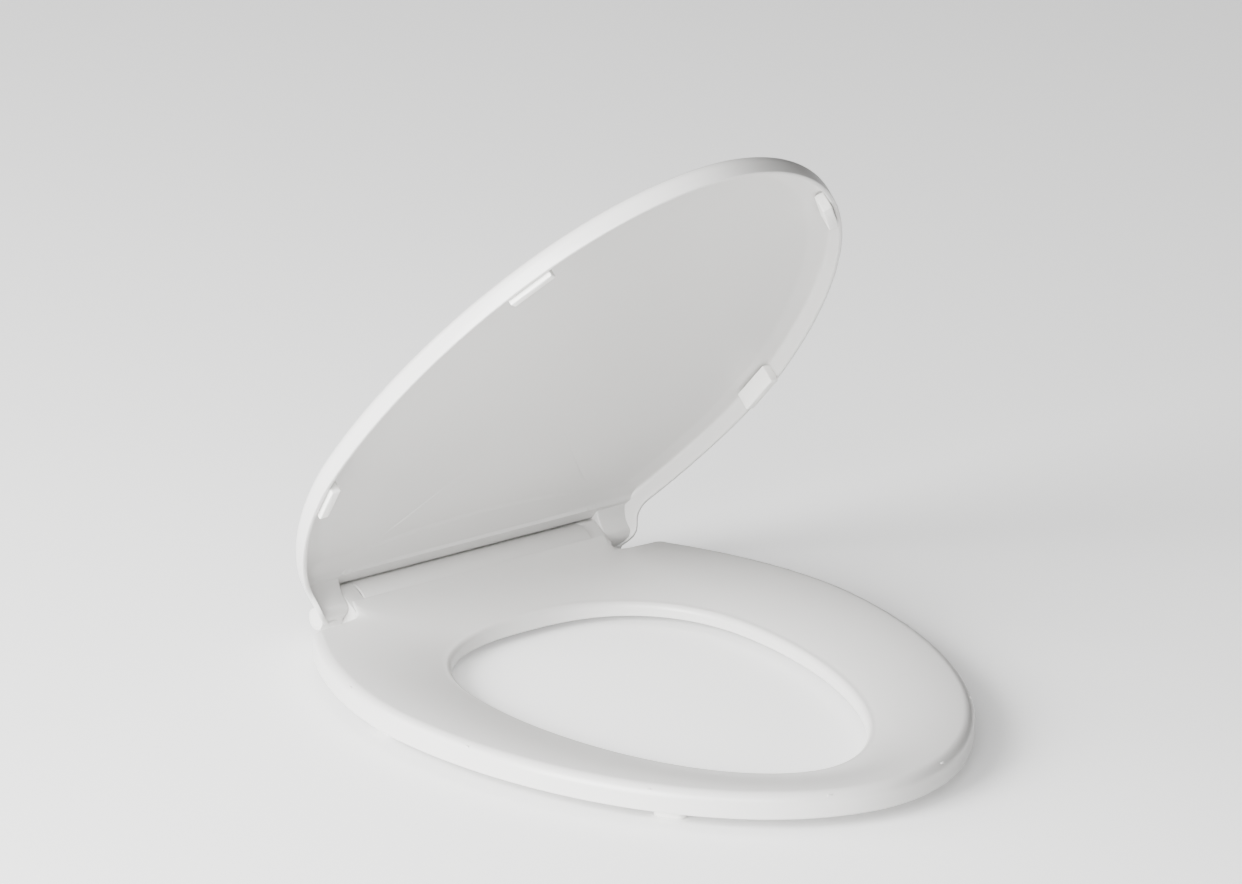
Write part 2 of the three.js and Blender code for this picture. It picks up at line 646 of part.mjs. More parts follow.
// The plate lies on the deck in front of the barrel, so that the lid can pass behind it, and a web
// joins it to the core that carries the dampers.
function hingeBase() {
  const coreRadius = BARREL_RADIUS - COVER_WALL - FIT;
  const half = BARREL_HALF_LENGTH;
  const webFront = Math.sqrt(BARREL_RADIUS ** 2 - SEAT_BOTTOM ** 2) - RUN;
  let base = block(-half, half, PLATE_FRONT_Y, PLATE_REAR_Y, DECK, DECK + PLATE_THICKNESS);
  base = base.add(block(-half, half, -webFront, PLATE_REAR_Y, DECK, DECK + WEB_HEIGHT));
  base = base.add(rod(coreRadius, -half, half, 40).intersect(block(-half, half, -FAR, FAR, DECK, 0)));
  for (const side of Object.values(SIDES)) {
    base = base.subtract(rod(DAMPER_RADIUS + FIT, side * (DAMPER_INNER - FIT), side * (half + 1)));
    base = base.subtract(socketCuts(side * SOCKET_SPACING / 2));
    base = base.subtract(screwCuts(side * SCREW_SPACING / 2));
  }
  return geometryOf(base);
}

const SOCKET_TOP = DECK + PLATE_THICKNESS;
const SLOT_TOP = DECK + LATCH_LEVEL + LATCH_THICKNESS + FIT;

// The hole for the bowl's pin, the slot for the latch and the pocket for the grip pad.
function socketCuts(x) {
  const bore = post(SOCKET_RADIUS, x, SOCKET_Y, DECK - 1, SOCKET_TOP + 1);
  const halfLatch = LATCH_WIDTH / 2 + FIT;
  const slot = block(x - halfLatch, x + halfLatch, PLATE_FRONT_Y - 1, SOCKET_Y + SOCKET_RADIUS + 1,
    DECK + LATCH_LEVEL - FIT, SLOT_TOP);
  const halfPad = PAD_LENGTH / 2 + FIT;
  const padMiddle = (PLATE_FRONT_Y + PLATE_REAR_Y) / 2;
  const pocket = block(x - halfPad, x + halfPad, padMiddle - PAD_WIDTH / 2 - FIT,
    padMiddle + PAD_WIDTH / 2 + FIT, DECK - 1, DECK + PAD_THICKNESS + FIT);
  return bore.add(slot).add(pocket);
}

const SCREW_HEAD_HEIGHT = 2.2;
const SCREW_HEAD_Z = 1 - BARREL_RADIUS + COVER_WALL;
const SCREW_POST_TOP = 0.7 * (BARREL_RADIUS - COVER_WALL);
const CROSS_SLOT_WIDTH = 0.8;
const CROSS_SLOT_LENGTH = 4;

function screwCuts(x) {
  const hole = post(SCREW_RADIUS + FIT, x, 0, DECK, 1, 12);
  const head = post(SCREW_HEAD_RADIUS + FIT, x, 0, DECK, SCREW_HEAD_Z + SCREW_HEAD_HEIGHT + FIT, 16);
  return hole.add(head);
}

// The visible barrel: a snap-over cover, with a post for each screw inside.
function barrelCover() {
  const inner = BARREL_RADIUS - COVER_WALL;
  const half = BARREL_HALF_LENGTH;
  const shape = new THREE.Shape();
  shape.absarc(0, 0, BARREL_RADIUS, COVER_REAR_ANGLE, COVER_FRONT_ANGLE);
  shape.absarc(0, 0, inner, COVER_FRONT_ANGLE, COVER_REAR_ANGLE, true);
  shape.closePath();
  let cover = alongX(shape, -half, half, 22);
  for (const side of Object.values(SIDES)) {
    const x = side * SCREW_SPACING / 2;
    cover = cover.add(post(2 * SCREW_RADIUS + FIT, x, 0, FIT, inner + COVER_WALL / 2, 16));
    cover = cover.subtract(post(SCREW_RADIUS + FIT, x, 0, -1, SCREW_POST_TOP, 12));
  }
  return geometryOf(cover);
}

function coverScrew() {
  const headTop = SCREW_HEAD_Z + SCREW_HEAD_HEIGHT;
  const head = post(SCREW_HEAD_RADIUS, 0, 0, SCREW_HEAD_Z, headTop, 16);
  const shank = post(SCREW_RADIUS, 0, 0, headTop - 1, SCREW_POST_TOP - FIT, 12);
  const slotTop = SCREW_HEAD_Z + SCREW_HEAD_HEIGHT / 2;
  const [long, wide] = [CROSS_SLOT_LENGTH / 2, CROSS_SLOT_WIDTH / 2];
  const cross = block(-long, long, -wide, wide, DECK, slotTop)
    .add(block(-wide, wide, -long, long, DECK, slotTop));
  return geometryOf(head.add(shank).subtract(cross));
}

function gripPad() {
  const padMiddle = (PLATE_FRONT_Y + PLATE_REAR_Y) / 2;
  const pad = block(-PAD_LENGTH / 2, PAD_LENGTH / 2, padMiddle - PAD_WIDTH / 2,
    padMiddle + PAD_WIDTH / 2, DECK, DECK + PAD_THICKNESS);
  return geometryOf(pad.subtract(post(SOCKET_RADIUS, 0, SOCKET_Y, DECK - 1, DECK + PAD_THICKNESS + 1)));
}

// A rubber bush above the latch, which grips the pin.
function socketBush() {
  const outer = SOCKET_RADIUS - FIT;
  const bush = post(outer, 0, SOCKET_Y, SLOT_TOP, SOCKET_TOP);
  return geometryOf(bush.subtract(post(outer - BUSH_WALL, 0, SOCKET_Y, DECK, SOCKET_TOP + 1)));
}

// A sliding plate with a slotted hole for the pin and a finger tab in front.
function releaseLatch() {
  const z0 = DECK + LATCH_LEVEL;
  const z1 = z0 + LATCH_THICKNESS;
  const holeRadius = SOCKET_RADIUS - BUSH_WALL - FIT;
  const plate = block(-LATCH_WIDTH / 2, LATCH_WIDTH / 2, PLATE_FRONT_Y - 1,
    SOCKET_Y + SOCKET_RADIUS, z0, z1);
  const tab = block(-LATCH_WIDTH / 2, LATCH_WIDTH / 2, PLATE_FRONT_Y - LATCH_TAB, PLATE_FRONT_Y - FIT,
    DECK + 1, DECK + LATCH_TAB_TOP);
  const slot = block(-holeRadius, holeRadius, SOCKET_Y, SOCKET_Y + LATCH_TRAVEL, z0 - 1, z1 + 1);
  const hole = post(holeRadius, 0, SOCKET_Y, z0 - 1, z1 + 1);
  const far = post(holeRadius, 0, SOCKET_Y + LATCH_TRAVEL, z0 - 1, z1 + 1);
  return geometryOf(plate.add(tab).subtract(slot.add(hole).add(far)));
}

// ---------- Dampers and shafts ----------

function damperBody(side) {
  const body = rod(DAMPER_RADIUS, side * DAMPER_INNER, side * DAMPER_OUTER, 32);
  const bore = rod(ROTOR_RADIUS + FIT, side * (DAMPER_INNER + DAMPER_END_WALL), side * (DAMPER_OUTER + 1));
  return geometryOf(body.subtract(bore));
}

function damperCap(side) {
  const cap = rod(DAMPER_RADIUS, side * (DAMPER_OUTER + FIT), side * (BARREL_HALF_LENGTH), 32);
  const hole = rod(SHAFT_RADIUS + FIT, side * DAMPER_OUTER, side * (BARREL_HALF_LENGTH + 1));
  return geometryOf(cap.subtract(hole));
}

// The seal sits on the shaft's neck, between the rotor and the cap.
const SEAL_SECTION = (ROTOR_RADIUS - SHAFT_RADIUS) / 2 - FIT / 4;

function damperSeal(side) {
  const seal = new THREE.TorusGeometry((ROTOR_RADIUS + SHAFT_RADIUS + FIT) / 2, SEAL_SECTION, 6, 18);
  seal.rotateY(Math.PI / 2);
  seal.translate(side * (DAMPER_OUTER - SEAL_SECTION), 0, 0);
  return seal;
}

function rotorAndNeck(side, neckEnd) {
  const rotorEnd = DAMPER_OUTER - 2 * SEAL_SECTION - FIT;
  const rotor = rod(ROTOR_RADIUS, side * (DAMPER_INNER + DAMPER_END_WALL + FIT), side * rotorEnd);
  return rotor.add(rod(SHAFT_RADIUS, side * (rotorEnd - 1), side * neckEnd));
}

// The lid's shaft passes through the seat's left lug and turns the left ear.
function lidDamperShaft() {
  const end = EAR_OUTER - EAR_CAP_THICKNESS - 2 * FIT;
  const key = flattedRod(SHAFT_RADIUS, SHAFT_FLAT, -EAR_INNER + 1, -end);
  return geometryOf(rotorAndNeck(-1, EAR_INNER - RUN / 2).add(key));
}

// The seat's shaft turns the right lug, and its round end is the right ear's pivot.
function seatDamperShaft() {
  const end = EAR_OUTER - EAR_CAP_THICKNESS - 2 * FIT;
  const key = flattedRod(SHAFT_RADIUS, SHAFT_FLAT, BARREL_HALF_LENGTH - 1, LUG_OUTER);
  const pin = rod(PIVOT_RADIUS, LUG_OUTER - 1, end);
  return geometryOf(rotorAndNeck(1, BARREL_HALF_LENGTH).add(key).add(pin));
}

function bearing(innerRadius, from, to) {
  const outer = rod(innerRadius + FIT + BEARING_WALL, from, to);
  return geometryOf(outer.subtract(rod(innerRadius + FIT, from - 1, to + 1)));
}

function earCap(side) {
  const inner = EAR_OUTER - EAR_CAP_THICKNESS;
  return geometryOf(rod(EAR_CAP_RADIUS, side * inner, side * EAR_OUTER, 32));
}

// ---------- Materials ----------

function finish(color, roughness, metalness = 0) {
  return () => new THREE.MeshStandardMaterial({ color, roughness, metalness });
}

const glossWhite = finish(0xf1f0ee, 0.22);
const whiteRubber = finish(0xe9e8e4, 0.7);
const basePlastic = finish(0xe2e1de, 0.4);
const damperPlastic = finish(0x9fa3a6, 0.45);
const acetal = finish(0xd9d8d2, 0.35);
const darkRubber = finish(0x3a3b3c, 0.8);
const steel = finish(0xb9bcc0, 0.3, 0.9);

function piece(name, geometry, material) {
  const mesh = new THREE.Mesh(geometry, material());
  mesh.name = name;
  return mesh;
}

// ---------- Assembly ----------

function fixedPieces() {
  const group = new THREE.Group();
  group.add(piece('hinge_base', hingeBase(), basePlastic));
  group.add(piece('barrel_cover', barrelCover(), glossWhite));
  const owners = { left: 'lid', right: 'seat' };
  for (const [name, side] of Object.entries(SIDES)) {
    group.add(piece(`${owners[name]}_damper_body`, damperBody(side), damperPlastic));
    group.add(piece(`${owners[name]}_damper_cap`, damperCap(side), damperPlastic));
    group.add(piece(`${owners[name]}_damper_seal`, damperSeal(side), darkRubber));
    const bush = piece(`socket_bush_${name}`, socketBush(), darkRubber);
    const pad = piece(`grip_pad_${name}`, gripPad(), darkRubber);
    const latch = piece(`release_latch_${name}`, releaseLatch(), acetal);
    for (const mesh of [bush, pad, latch]) {
      mesh.position.x = side * SOCKET_SPACING / 2;
      group.add(mesh);
    }
    const screw = piece(`cover_screw_${name}`, coverScrew(), steel);
    screw.position.x = side * SCREW_SPACING / 2;
    group.add(screw);
  }
  return group;
}

function seatPieces() {
  const group = new THREE.Group();
  group.add(piece('seat_ring', seatRing(), glossWhite));
  for (const [name, angle] of Object.entries(BUMPER_ANGLES)) {
    const { x, y, turn } = bumperPlace(seatOutline, angle, SEAT_BUMPER_INSET);
    const bumper = piece(`seat_bumper_${name}`, seatBumper(), whiteRubber);
    bumper.position.set(x, y, DECK);
    bumper.rotation.z = turn;
    group.add(bumper);
  }
  group.add(piece('lug_bearing_left', bearing(SHAFT_RADIUS, -LUG_OUTER, -LUG_INNER), acetal));
  group.add(piece('seat_damper_shaft', seatDamperShaft(), steel));
  return group;
}

function lidPieces() {
  const group = new THREE.Group();
  group.add(piece('lid_shell', lidShell(), glossWhite));
  const sagitta = 1;
  const inset = LID_WALL + 0.6 + sagitta + FIT + LID_BUMPER_WIDTH / 2;
  for (const [name, angle] of Object.entries(BUMPER_ANGLES)) {
    const { x, y, turn } = bumperPlace(lidOutline, angle, inset);
    const bumper = piece(`lid_bumper_${name}`, lidBumper(), whiteRubber);
    bumper.position.set(x, y, 0);
    bumper.rotation.z = turn;
    group.add(bumper);
  }
  const capSeat = EAR_OUTER - EAR_CAP_THICKNESS - 2 * FIT;
  group.add(piece('ear_bearing_right', bearing(PIVOT_RADIUS, EAR_INNER, capSeat), acetal));
  group.add(piece('lid_damper_shaft', lidDamperShaft(), steel));
  for (const [name, side] of Object.entries(SIDES)) {
    group.add(piece(`ear_cap_${name}`, earCap(side), glossWhite));
  }
  group.rotation.x = -LID_REST_ANGLE;
  return group;
}

const toiletSeat = new THREE.Group();
toiletSeat.position.set(0, -SOCKET_Y, AXIS_Z);
toiletSeat.add(fixedPieces(), seatPieces(), lidPieces());

export default toiletSeat;
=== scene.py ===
"""Slow-close toilet seat: the visible mouldings, their finishes and the studio around them.

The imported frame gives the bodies, the hinge axis and the small parts inside the hinge. This file
makes the seat ring, the lid, the barrel cover and the bumpers as fine meshes on those bodies.
All lengths are in metres. A piece is laid out about the hinge axis, with the lid closed.
"""

import json
import math

import bmesh
import bpy
import numpy as np
from bpy.props import FloatProperty, FloatVectorProperty, IntProperty, PointerProperty
from mathutils import Matrix, Vector


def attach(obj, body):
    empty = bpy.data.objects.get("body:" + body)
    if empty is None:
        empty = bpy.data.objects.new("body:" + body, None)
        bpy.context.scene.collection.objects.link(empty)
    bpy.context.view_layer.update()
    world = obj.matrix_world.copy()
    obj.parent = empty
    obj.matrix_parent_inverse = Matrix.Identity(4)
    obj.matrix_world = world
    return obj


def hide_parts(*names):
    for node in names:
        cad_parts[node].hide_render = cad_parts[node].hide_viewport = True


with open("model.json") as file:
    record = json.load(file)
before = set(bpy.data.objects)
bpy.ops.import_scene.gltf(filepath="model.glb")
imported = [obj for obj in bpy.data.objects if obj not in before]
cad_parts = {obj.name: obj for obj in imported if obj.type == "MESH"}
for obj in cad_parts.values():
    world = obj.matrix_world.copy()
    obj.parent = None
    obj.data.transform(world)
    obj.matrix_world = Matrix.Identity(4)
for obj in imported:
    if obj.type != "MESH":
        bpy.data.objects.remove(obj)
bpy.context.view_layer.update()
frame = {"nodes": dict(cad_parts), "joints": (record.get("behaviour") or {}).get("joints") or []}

bl_info = {
    "name": "Slow-close toilet seat",
    "version": (1, 0, 0),
    "blender": (4, 5, 0),
    "location": "View3D > Sidebar > Toilet seat",
    "description": "Builds the mouldings, finishes and studio of a slow-close toilet seat",
    "category": "Object",
}

MM = 0.001
JOINTS = {joint["name"]: joint for joint in frame["joints"]}
AXIS = Vector(JOINTS["seat_lift"]["pos_m"])


# ---------- Sizes and colours a user may change ----------


def length(name, description, default):
    return FloatProperty(name=name, description=description, default=default, unit="LENGTH",
                         precision=4)


def number(name, description, default):
    return FloatProperty(name=name, description=description, default=default)


def angle(name, description, degrees):
    return FloatProperty(name=name, description=description, default=math.radians(degrees),
                         subtype="ANGLE")


def colour(name, description, code):
    return FloatVectorProperty(name=name, description=description, subtype="COLOR", size=3,
                               min=0.0, max=1.0, default=linear(code))


def linear(code):
    """The linear RGB of an sRGB hex colour."""
    parts = [int(code[i:i + 2], 16) / 255 for i in (1, 3, 5)]
    return tuple(p / 12.92 if p <= 0.04045 else ((p + 0.055) / 1.055) ** 2.4 for p in parts)


class SeatSizes(bpy.types.PropertyGroup):
    half_width: length("Half width", "From the middle to the side of the ring", 0.180)
    widest_y: length("Widest line", "Its place from the hinge axis", -0.167)
    front_reach: length("Front reach", "From the widest line to the front", 0.275)
    rear_reach: length("Rear reach", "From the widest line to the egg's rear", 0.245)
    front_power: number("Front power", "Fullness of the front half", 1.93)
    rear_power: number("Rear power", "Fullness of the rear half", 1.8)
    top: length("Top", "Crest of the ring above the hinge axis", 0.004)
    bottom: length("Bottom", "Lower rim of the ring from the hinge axis", -0.012)
    edge_radius: length("Edge radius", "Rounding of the outer top edge", 0.0068)
    skin: length("Skin", "Thickness of the moulding", 0.0032)
    opening_half_width: length("Opening half width", "Half the opening's width", 0.1048)
    opening_y: length("Opening widest line", "Place of the opening's widest line", -0.181)
    opening_front: length("Opening front reach", "From its widest line to its front", 0.195)
    opening_rear: length("Opening rear reach", "From its widest line to its rear", 0.116)
    opening_front_power: number("Opening front power", "Fullness of its front half", 1.9)
    opening_rear_power: number("Opening rear power", "Fullness of its rear half", 2.5)
    opening_radius: length("Opening edge radius", "Rounding of the opening's edge", 0.0042)
    dish_drop: length("Dish drop", "How far the top falls towards the opening", 0.0107)
    dish_power: number("Dish power", "How late the fall steepens", 1.8)
    wall_below_rim: length("Wall below rim", "How far the opening's wall passes the rim", 0.0035)
    ramp_length: length("Ramp length", "Length of the ramp before the barrel", 0.049)
    corner_radius: length("Rear corner radius", "Rounding of the ring's rear corners", 0.009)
    rib_count: IntProperty(name="Ribs", description="Ribs under the ring", default=12)


class LidSizes(bpy.types.PropertyGroup):
    half_width: length("Half width", "From the middle to the side of the lid", 0.178)
    widest_y: length("Widest line", "Its place from the hinge axis", -0.169)
    front_reach: length("Front reach", "From the widest line to the front", 0.272)
    rear_reach: length("Rear reach", "From the widest line to the egg's rear", 0.2445)
    front_power: number("Front power", "Fullness of the front half", 1.947)
    rear_power: number("Rear power", "Fullness of the rear half", 1.72)
    rim: length("Rim", "Lower rim of the closed lid above the hinge axis", 0.0071)
    depth: length("Depth", "From the rim to the flat of the top", 0.015)
    edge_radius: length("Edge radius", "Rounding of the outer top edge", 0.007)
    dome: length("Dome", "Rise of the top towards its middle", 0.002)
    wall: length("Wall", "Thickness of the side wall", 0.0032)
    floor: length("Floor", "Thickness of the top", 0.0026)
    ledge_width: length("Ledge width", "Width of the sloping ledge inside the wall", 0.015)
    ledge_step: length("Ledge step", "Rise across the ledge", 0.0018)
    ramp_length: length("Ramp length", "Length of the ramp at the rear of the inside", 0.028)
    ramp_bow: length("Ramp bow", "How much shorter the ramp is near its ends", 0.014)
    land_length: length("Land length", "Length of the land behind the ramp", 0.011)
    open_angle: angle("Open angle", "How far the lid is open at rest", 50.3)


class HingeSizes(bpy.types.PropertyGroup):
    barrel_radius: length("Barrel radius", "Radius of the visible barrel", 0.0175)
    half_length: length("Half length", "From the middle to the barrel's end", 0.0892)
    cover_wall: length("Cover wall", "Thickness of the barrel's cover", 0.002)
    lug_width: length("Lug width", "Width of each lug of the seat", 0.012)
    ear_width: length("Ear width", "Width of each ear of the lid", 0.017)
    gap: length("Gap", "Gap between pieces that turn past each other", 0.0003)
    lid_to_barrel: length("Lid to barrel", "Gap between the lid's hood and the barrel", 0.0017)
    lip_angle: angle("Lip angle", "Place of the seat's lip around the barrel", 137.8)
    lid_edge_angle: angle("Lid edge angle", "Place of the closed lid's edge there", 133.5)


class BumperSizes(bpy.types.PropertyGroup):
    foot_length: length("Foot length", "Length of each foot under the seat", 0.021)
    foot_width: length("Foot width", "Width of each foot", 0.010)
    foot_inset: length("Foot inset", "From the ring's outline to the middle of a foot", 0.018)
    strip_length: length("Strip length", "Length of each strip inside the lid", 0.032)
    strip_width: length("Strip width", "Thickness of each strip", 0.0065)
    front_angle: angle("Front place", "Place of the front pairs round the outline", -47)
    rear_angle: angle("Rear place", "Place of the rear pairs round the outline", 8)


class Finishes(bpy.types.PropertyGroup):
    moulding: colour("Moulding", "White of the seat, the lid and the barrel", "#cecdcb")
    soft_white: colour("Bumpers", "White of the bumpers", "#f4f3f0")
    base: colour("Base", "Off-white of the base", "#e3e2de")
    damper: colour("Damper", "Grey of the dampers", "#8f9497")
    acetal: colour("Acetal", "Natural white of bearings and latches", "#e0dfd8")
    rubber: colour("Rubber", "Black of the pads, bushes and seals", "#2b2c2d")
    steel: colour("Steel", "Colour of the shafts and screws", "#c9cbce")
    floor: colour("Studio floor", "Colour of the studio floor", "#f6f6f5")


class StageSizes(bpy.types.PropertyGroup):
    camera_yaw: angle("Camera yaw", "Turn of the camera round the seat from the front", -36.888)
    camera_pitch: angle("Camera pitch", "Height of the camera above the seat", 19.9625)
    camera_distance: length("Camera distance", "From the camera to its target", 5.7505)
    lens: number("Lens", "Focal length in millimetres", 268.35)
    key_power: number("Key power", "Power of the large light at the left, in watts", 345.0)
    back_power: number("Back power", "Power of the light behind at the left, in watts", 75.0)
    top_power: number("Top power", "Power of the light overhead, in watts", 10.0)
    front_power: number("Front power", "Power of the light in front, in watts", 85.0)
    world_strength: number("Surround", "Strength of the even light all round", 0.02)
    floor_glow: number("Floor glow", "Light given off by the floor itself", 0.33)


# ---------- Outlines and surfaces ----------


def egg(sizes, at, opening=False):
    """The point of an outline made of two half superellipses that meet at the widest line."""
    if opening:
        half, widest = sizes.opening_half_width, sizes.opening_y
        reaches = sizes.opening_front, sizes.opening_rear
        powers = sizes.opening_front_power, sizes.opening_rear_power
    else:
        half, widest = sizes.half_width, sizes.widest_y
        reaches = sizes.front_reach, sizes.rear_reach
        powers = sizes.front_power, sizes.rear_power
    across, along = math.cos(at), math.sin(at)
    behind = along >= 0
    power = 2 / powers[behind]
    x = half * math.copysign(abs(across) ** power, across)
    y = widest + reaches[behind] * math.copysign(abs(along) ** power, along)
    return np.array([x, y])


def egg_normal(sizes, at):
    """The outward direction of the outline at that place."""
    step = 0.002
    run = egg(sizes, at + step) - egg(sizes, at - step)
    run /= np.linalg.norm(run)
    return np.array([run[1], -run[0]])


def egg_angle_at(sizes, y):
    """The place, behind the widest line, where the outline reaches that y."""
    share = (y - sizes.widest_y) / sizes.rear_reach
    return math.asin(share ** (sizes.rear_power / 2))


def smooth_step(value, low, high):
    share = np.clip((value - low) / (high - low), 0, 1)
    return share * share * (3 - 2 * share)


def smooth_max(a, b, width):
    """The higher of two surfaces, with the crease between them rounded over that width."""
    return (a + b + np.sqrt((a - b) ** 2 + width ** 2)) / 2


def normals_of(points):
    """The outward directions of a closed outline that runs anticlockwise."""
    run = np.roll(points, -1, axis=0) - np.roll(points, 1, axis=0)
    run /= np.linalg.norm(run, axis=1)[:, None]
    return np.stack([run[:, 1], -run[:, 0]], axis=1)


def mirrored(half):
    """A closed outline from its right half, which runs from the front to the rear."""
    left = half[-2:0:-1].copy()
    left[:, 0] *= -1
    return np.concatenate([half, left])


def mirrored_values(half):
    return np.concatenate([half, half[-2:0:-1]])


# ---------- Meshes ----------


def mesh_object(name, points, faces):
    mesh = bpy.data.meshes.new(name)
    mesh.from_pydata([tuple(p) for p in points], [], faces)
    shape = bmesh.new()
    shape.from_mesh(mesh)
    bmesh.ops.recalc_face_normals(shape, faces=shape.faces)
    shape.to_mesh(mesh)
    shape.free()
    piece = bpy.data.objects.new(name, mesh)
    bpy.context.scene.collection.objects.link(piece)
    return piece


def loft(name, rows, ends="joined"):
    """A surface through rings of points, whose ends are joined, closed or drawn to a pole."""
    count = len(rows[0])
    points = [tuple(p) for row in rows for p in row]
    faces = []
    spans = len(rows) if ends == "joined" else len(rows) - 1
    for k in range(spans):
        low, high = k * count, (k + 1) % len(rows) * count
        for i in range(count):
            j = (i + 1) % count
            faces.append((low + i, low + j, high + j, high + i))
    if ends == "closed":
        faces.append(tuple(range(count)))
        faces.append(tuple(range((len(rows) - 1) * count, len(rows) * count)))
    if ends == "poles":
        for row, k in ((rows[0], 0), (rows[-1], len(rows) - 1)):
            middle = np.mean(np.array(row), axis=0)
            points.append(tuple(middle))
            faces += [(len(points) - 1, k * count + i, k * count + (i + 1) % count)
                      for i in range(count)]
    return mesh_object(name, points, faces)


def rounded_prism(name, side, start, end, radius, to_space):
    """A side view carried between two depths, with both its outlines rounded by that radius."""
    side = np.array(side)
    outwards = normals_of(side)
    low, high = sorted((start, end))
    turns = np.radians((0, 30, 60, 90))
    insets, rises = radius * (1 - np.sin(turns)), radius * (1 - np.cos(turns))
    depths = [*(low + rises), *(high - rises[::-1])]
    rings = []
    for inset, depth in zip([*insets, *insets[::-1]], depths):
        rings.append([to_space(*point, depth) for point in side - outwards * inset])
    return loft(name, rings, ends="closed")


def along_x(y, z, x):
    return (x, y, z)


def along_z(x, y, z):
    return (x, y, z)


def arc(centre, radius, start, end, count):
    """Points of an arc in a side view. The angles are in degrees."""
    turns = np.radians(np.linspace(start, end, count + 1))
    return [(centre[0] + radius * math.cos(t), centre[1] + radius * math.sin(t)) for t in turns]


def join(piece, others, operation="UNION"):
    """Makes one solid of a piece and others, or cuts the others out of it."""
    for other in others:
        change = piece.modifiers.new("join", "BOOLEAN")
        change.object = other
        change.operation = operation
        change.solver = "MANIFOLD"
    bpy.context.view_layer.update()
    graph = bpy.context.evaluated_depsgraph_get()
    mesh = bpy.data.meshes.new_from_object(piece.evaluated_get(graph))
    piece.modifiers.clear()
    piece.data = mesh
    for other in others:
        bpy.data.objects.remove(other)
    if not mesh.polygons:
        raise RuntimeError(f"{piece.name} came out empty when its solids were joined")
    return piece


# Edges that turn more than this stay sharp: on the meshes made here, and on the frame's own.
SHARP_TURN = math.radians(32)
FRAME_SHARP_TURN = math.radians(35)


def place(piece, turn=0.0):
    """Turns a piece about the hinge axis and moves it from the axis to its place."""
    piece.data.transform(Matrix.Translation(AXIS) @ Matrix.Rotation(turn, 4, "X"))
    return piece


def finish_piece(piece, node, body, slot):
    """Shades a piece, gives it its finish, sets it on its body and lets it stand for a CAD node."""
    piece.data.shade_smooth()
    piece.data.set_sharp_from_angle(angle=SHARP_TURN)
    give_finish(piece.data, slot)
    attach(piece, body)
    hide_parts(node)


# ---------- Finishes ----------


def add_node(tree, kind, values=None, links=None, **settings):
    """Adds a shader node with its settings, the values of its sockets and the links into them."""
    node = tree.nodes.new(kind)
    for name, value in settings.items():
        setattr(node, name, value)
    for socket, value in (values or {}).items():
        node.inputs[socket].default_value = value
    for socket, source in (links or {}).items():
        tree.links.new(source, node.inputs[socket])
    return node


def new_material(name, tint, values):
    """A material with its shader and the object's own coordinates, in metres."""
    material = bpy.data.materials.new(name)
    material.use_nodes = True
    material.diffuse_color = (*tint, 1)
    tree = material.node_tree
    tree.nodes.clear()
    shader = add_node(tree, "ShaderNodeBsdfPrincipled", {"Base Color": (*tint, 1), **values})
    add_node(tree, "ShaderNodeOutputMaterial", links={"Surface": shader.outputs["BSDF"]})
    place_node = add_node(tree, "ShaderNodeTexCoord")
    return material, tree, shader, place_node.outputs["Object"]


def noise(tree, place_socket, size, detail=3.0):
    """Noise whose features are that many metres across."""
    return add_node(tree, "ShaderNodeTexNoise", {"Scale": 1 / size, "Detail": detail},
                    {"Vector": place_socket}).outputs["Fac"]


# Nearly all of a noise lies between these.
NOISE_LOW, NOISE_HIGH = 0.1, 0.9


def spread(tree, source, low, high):
    """Maps a noise to the range from low to high."""
    ends = {"From Min": NOISE_LOW, "From Max": NOISE_HIGH, "To Min": low, "To Max": high}
    return add_node(tree, "ShaderNodeMapRange", ends, {"Value": source}).outputs[0]


def tinted(tree, factor, dark, light):
    """Blends two tints of one colour."""
    mix = add_node(tree, "ShaderNodeMix", data_type="RGBA", links={0: factor})
    mix.inputs[6].default_value = (*dark, 1)
    mix.inputs[7].default_value = (*light, 1)
    return mix.outputs[2]


def shade_of(tint, share):
    return tuple(channel * share for channel in tint)


def add_bump(tree, shader, height, distance, strength):
    bump = add_node(tree, "ShaderNodeBump", {"Distance": distance, "Strength": strength},
                    {"Height": height})
    tree.links.new(bump.outputs["Normal"], shader.inputs["Normal"])


def moulded_polypropylene(name, tint):
    # Injection-moulded polypropylene from a polished mould: a clean white with a broad soft sheen.
    # Slow 40 mm waves of gloss are where the moulding cooled at different rates, and the 1.2 mm
    # orange peel, drawn coarser than the real 0.3 mm, softens the edges of reflections.
    material, tree, shader, where = new_material(
        name, tint, {"Roughness": 0.3, "IOR": 1.49, "Specular IOR Level": 0.5})
    waves = noise(tree, where, 0.040, 2.0)
    tree.links.new(spread(tree, waves, 0.27, 0.33), shader.inputs["Roughness"])
    tree.links.new(tinted(tree, waves, shade_of(tint, 0.992), tint), shader.inputs["Base Color"])
    add_bump(tree, shader, noise(tree, where, 0.0012, 2.0), 0.00001, 0.1)
    return material


def moulded_elastomer(name, tint):
    # Soft white thermoplastic elastomer: matt, with a 1 mm dull mottle and a fine bloom that
    # scatters light, so it reads a little flatter and warmer than the polypropylene beside it.
    material, tree, shader, where = new_material(
        name, tint, {"Roughness": 0.6, "IOR": 1.47})
    mottle = noise(tree, where, 0.001, 4.0)
    tree.links.new(spread(tree, mottle, 0.5, 0.7), shader.inputs["Roughness"])
    tree.links.new(tinted(tree, mottle, shade_of(tint, 0.96), tint), shader.inputs["Base Color"])
    add_bump(tree, shader, mottle, 0.00004, 0.35)
    return material


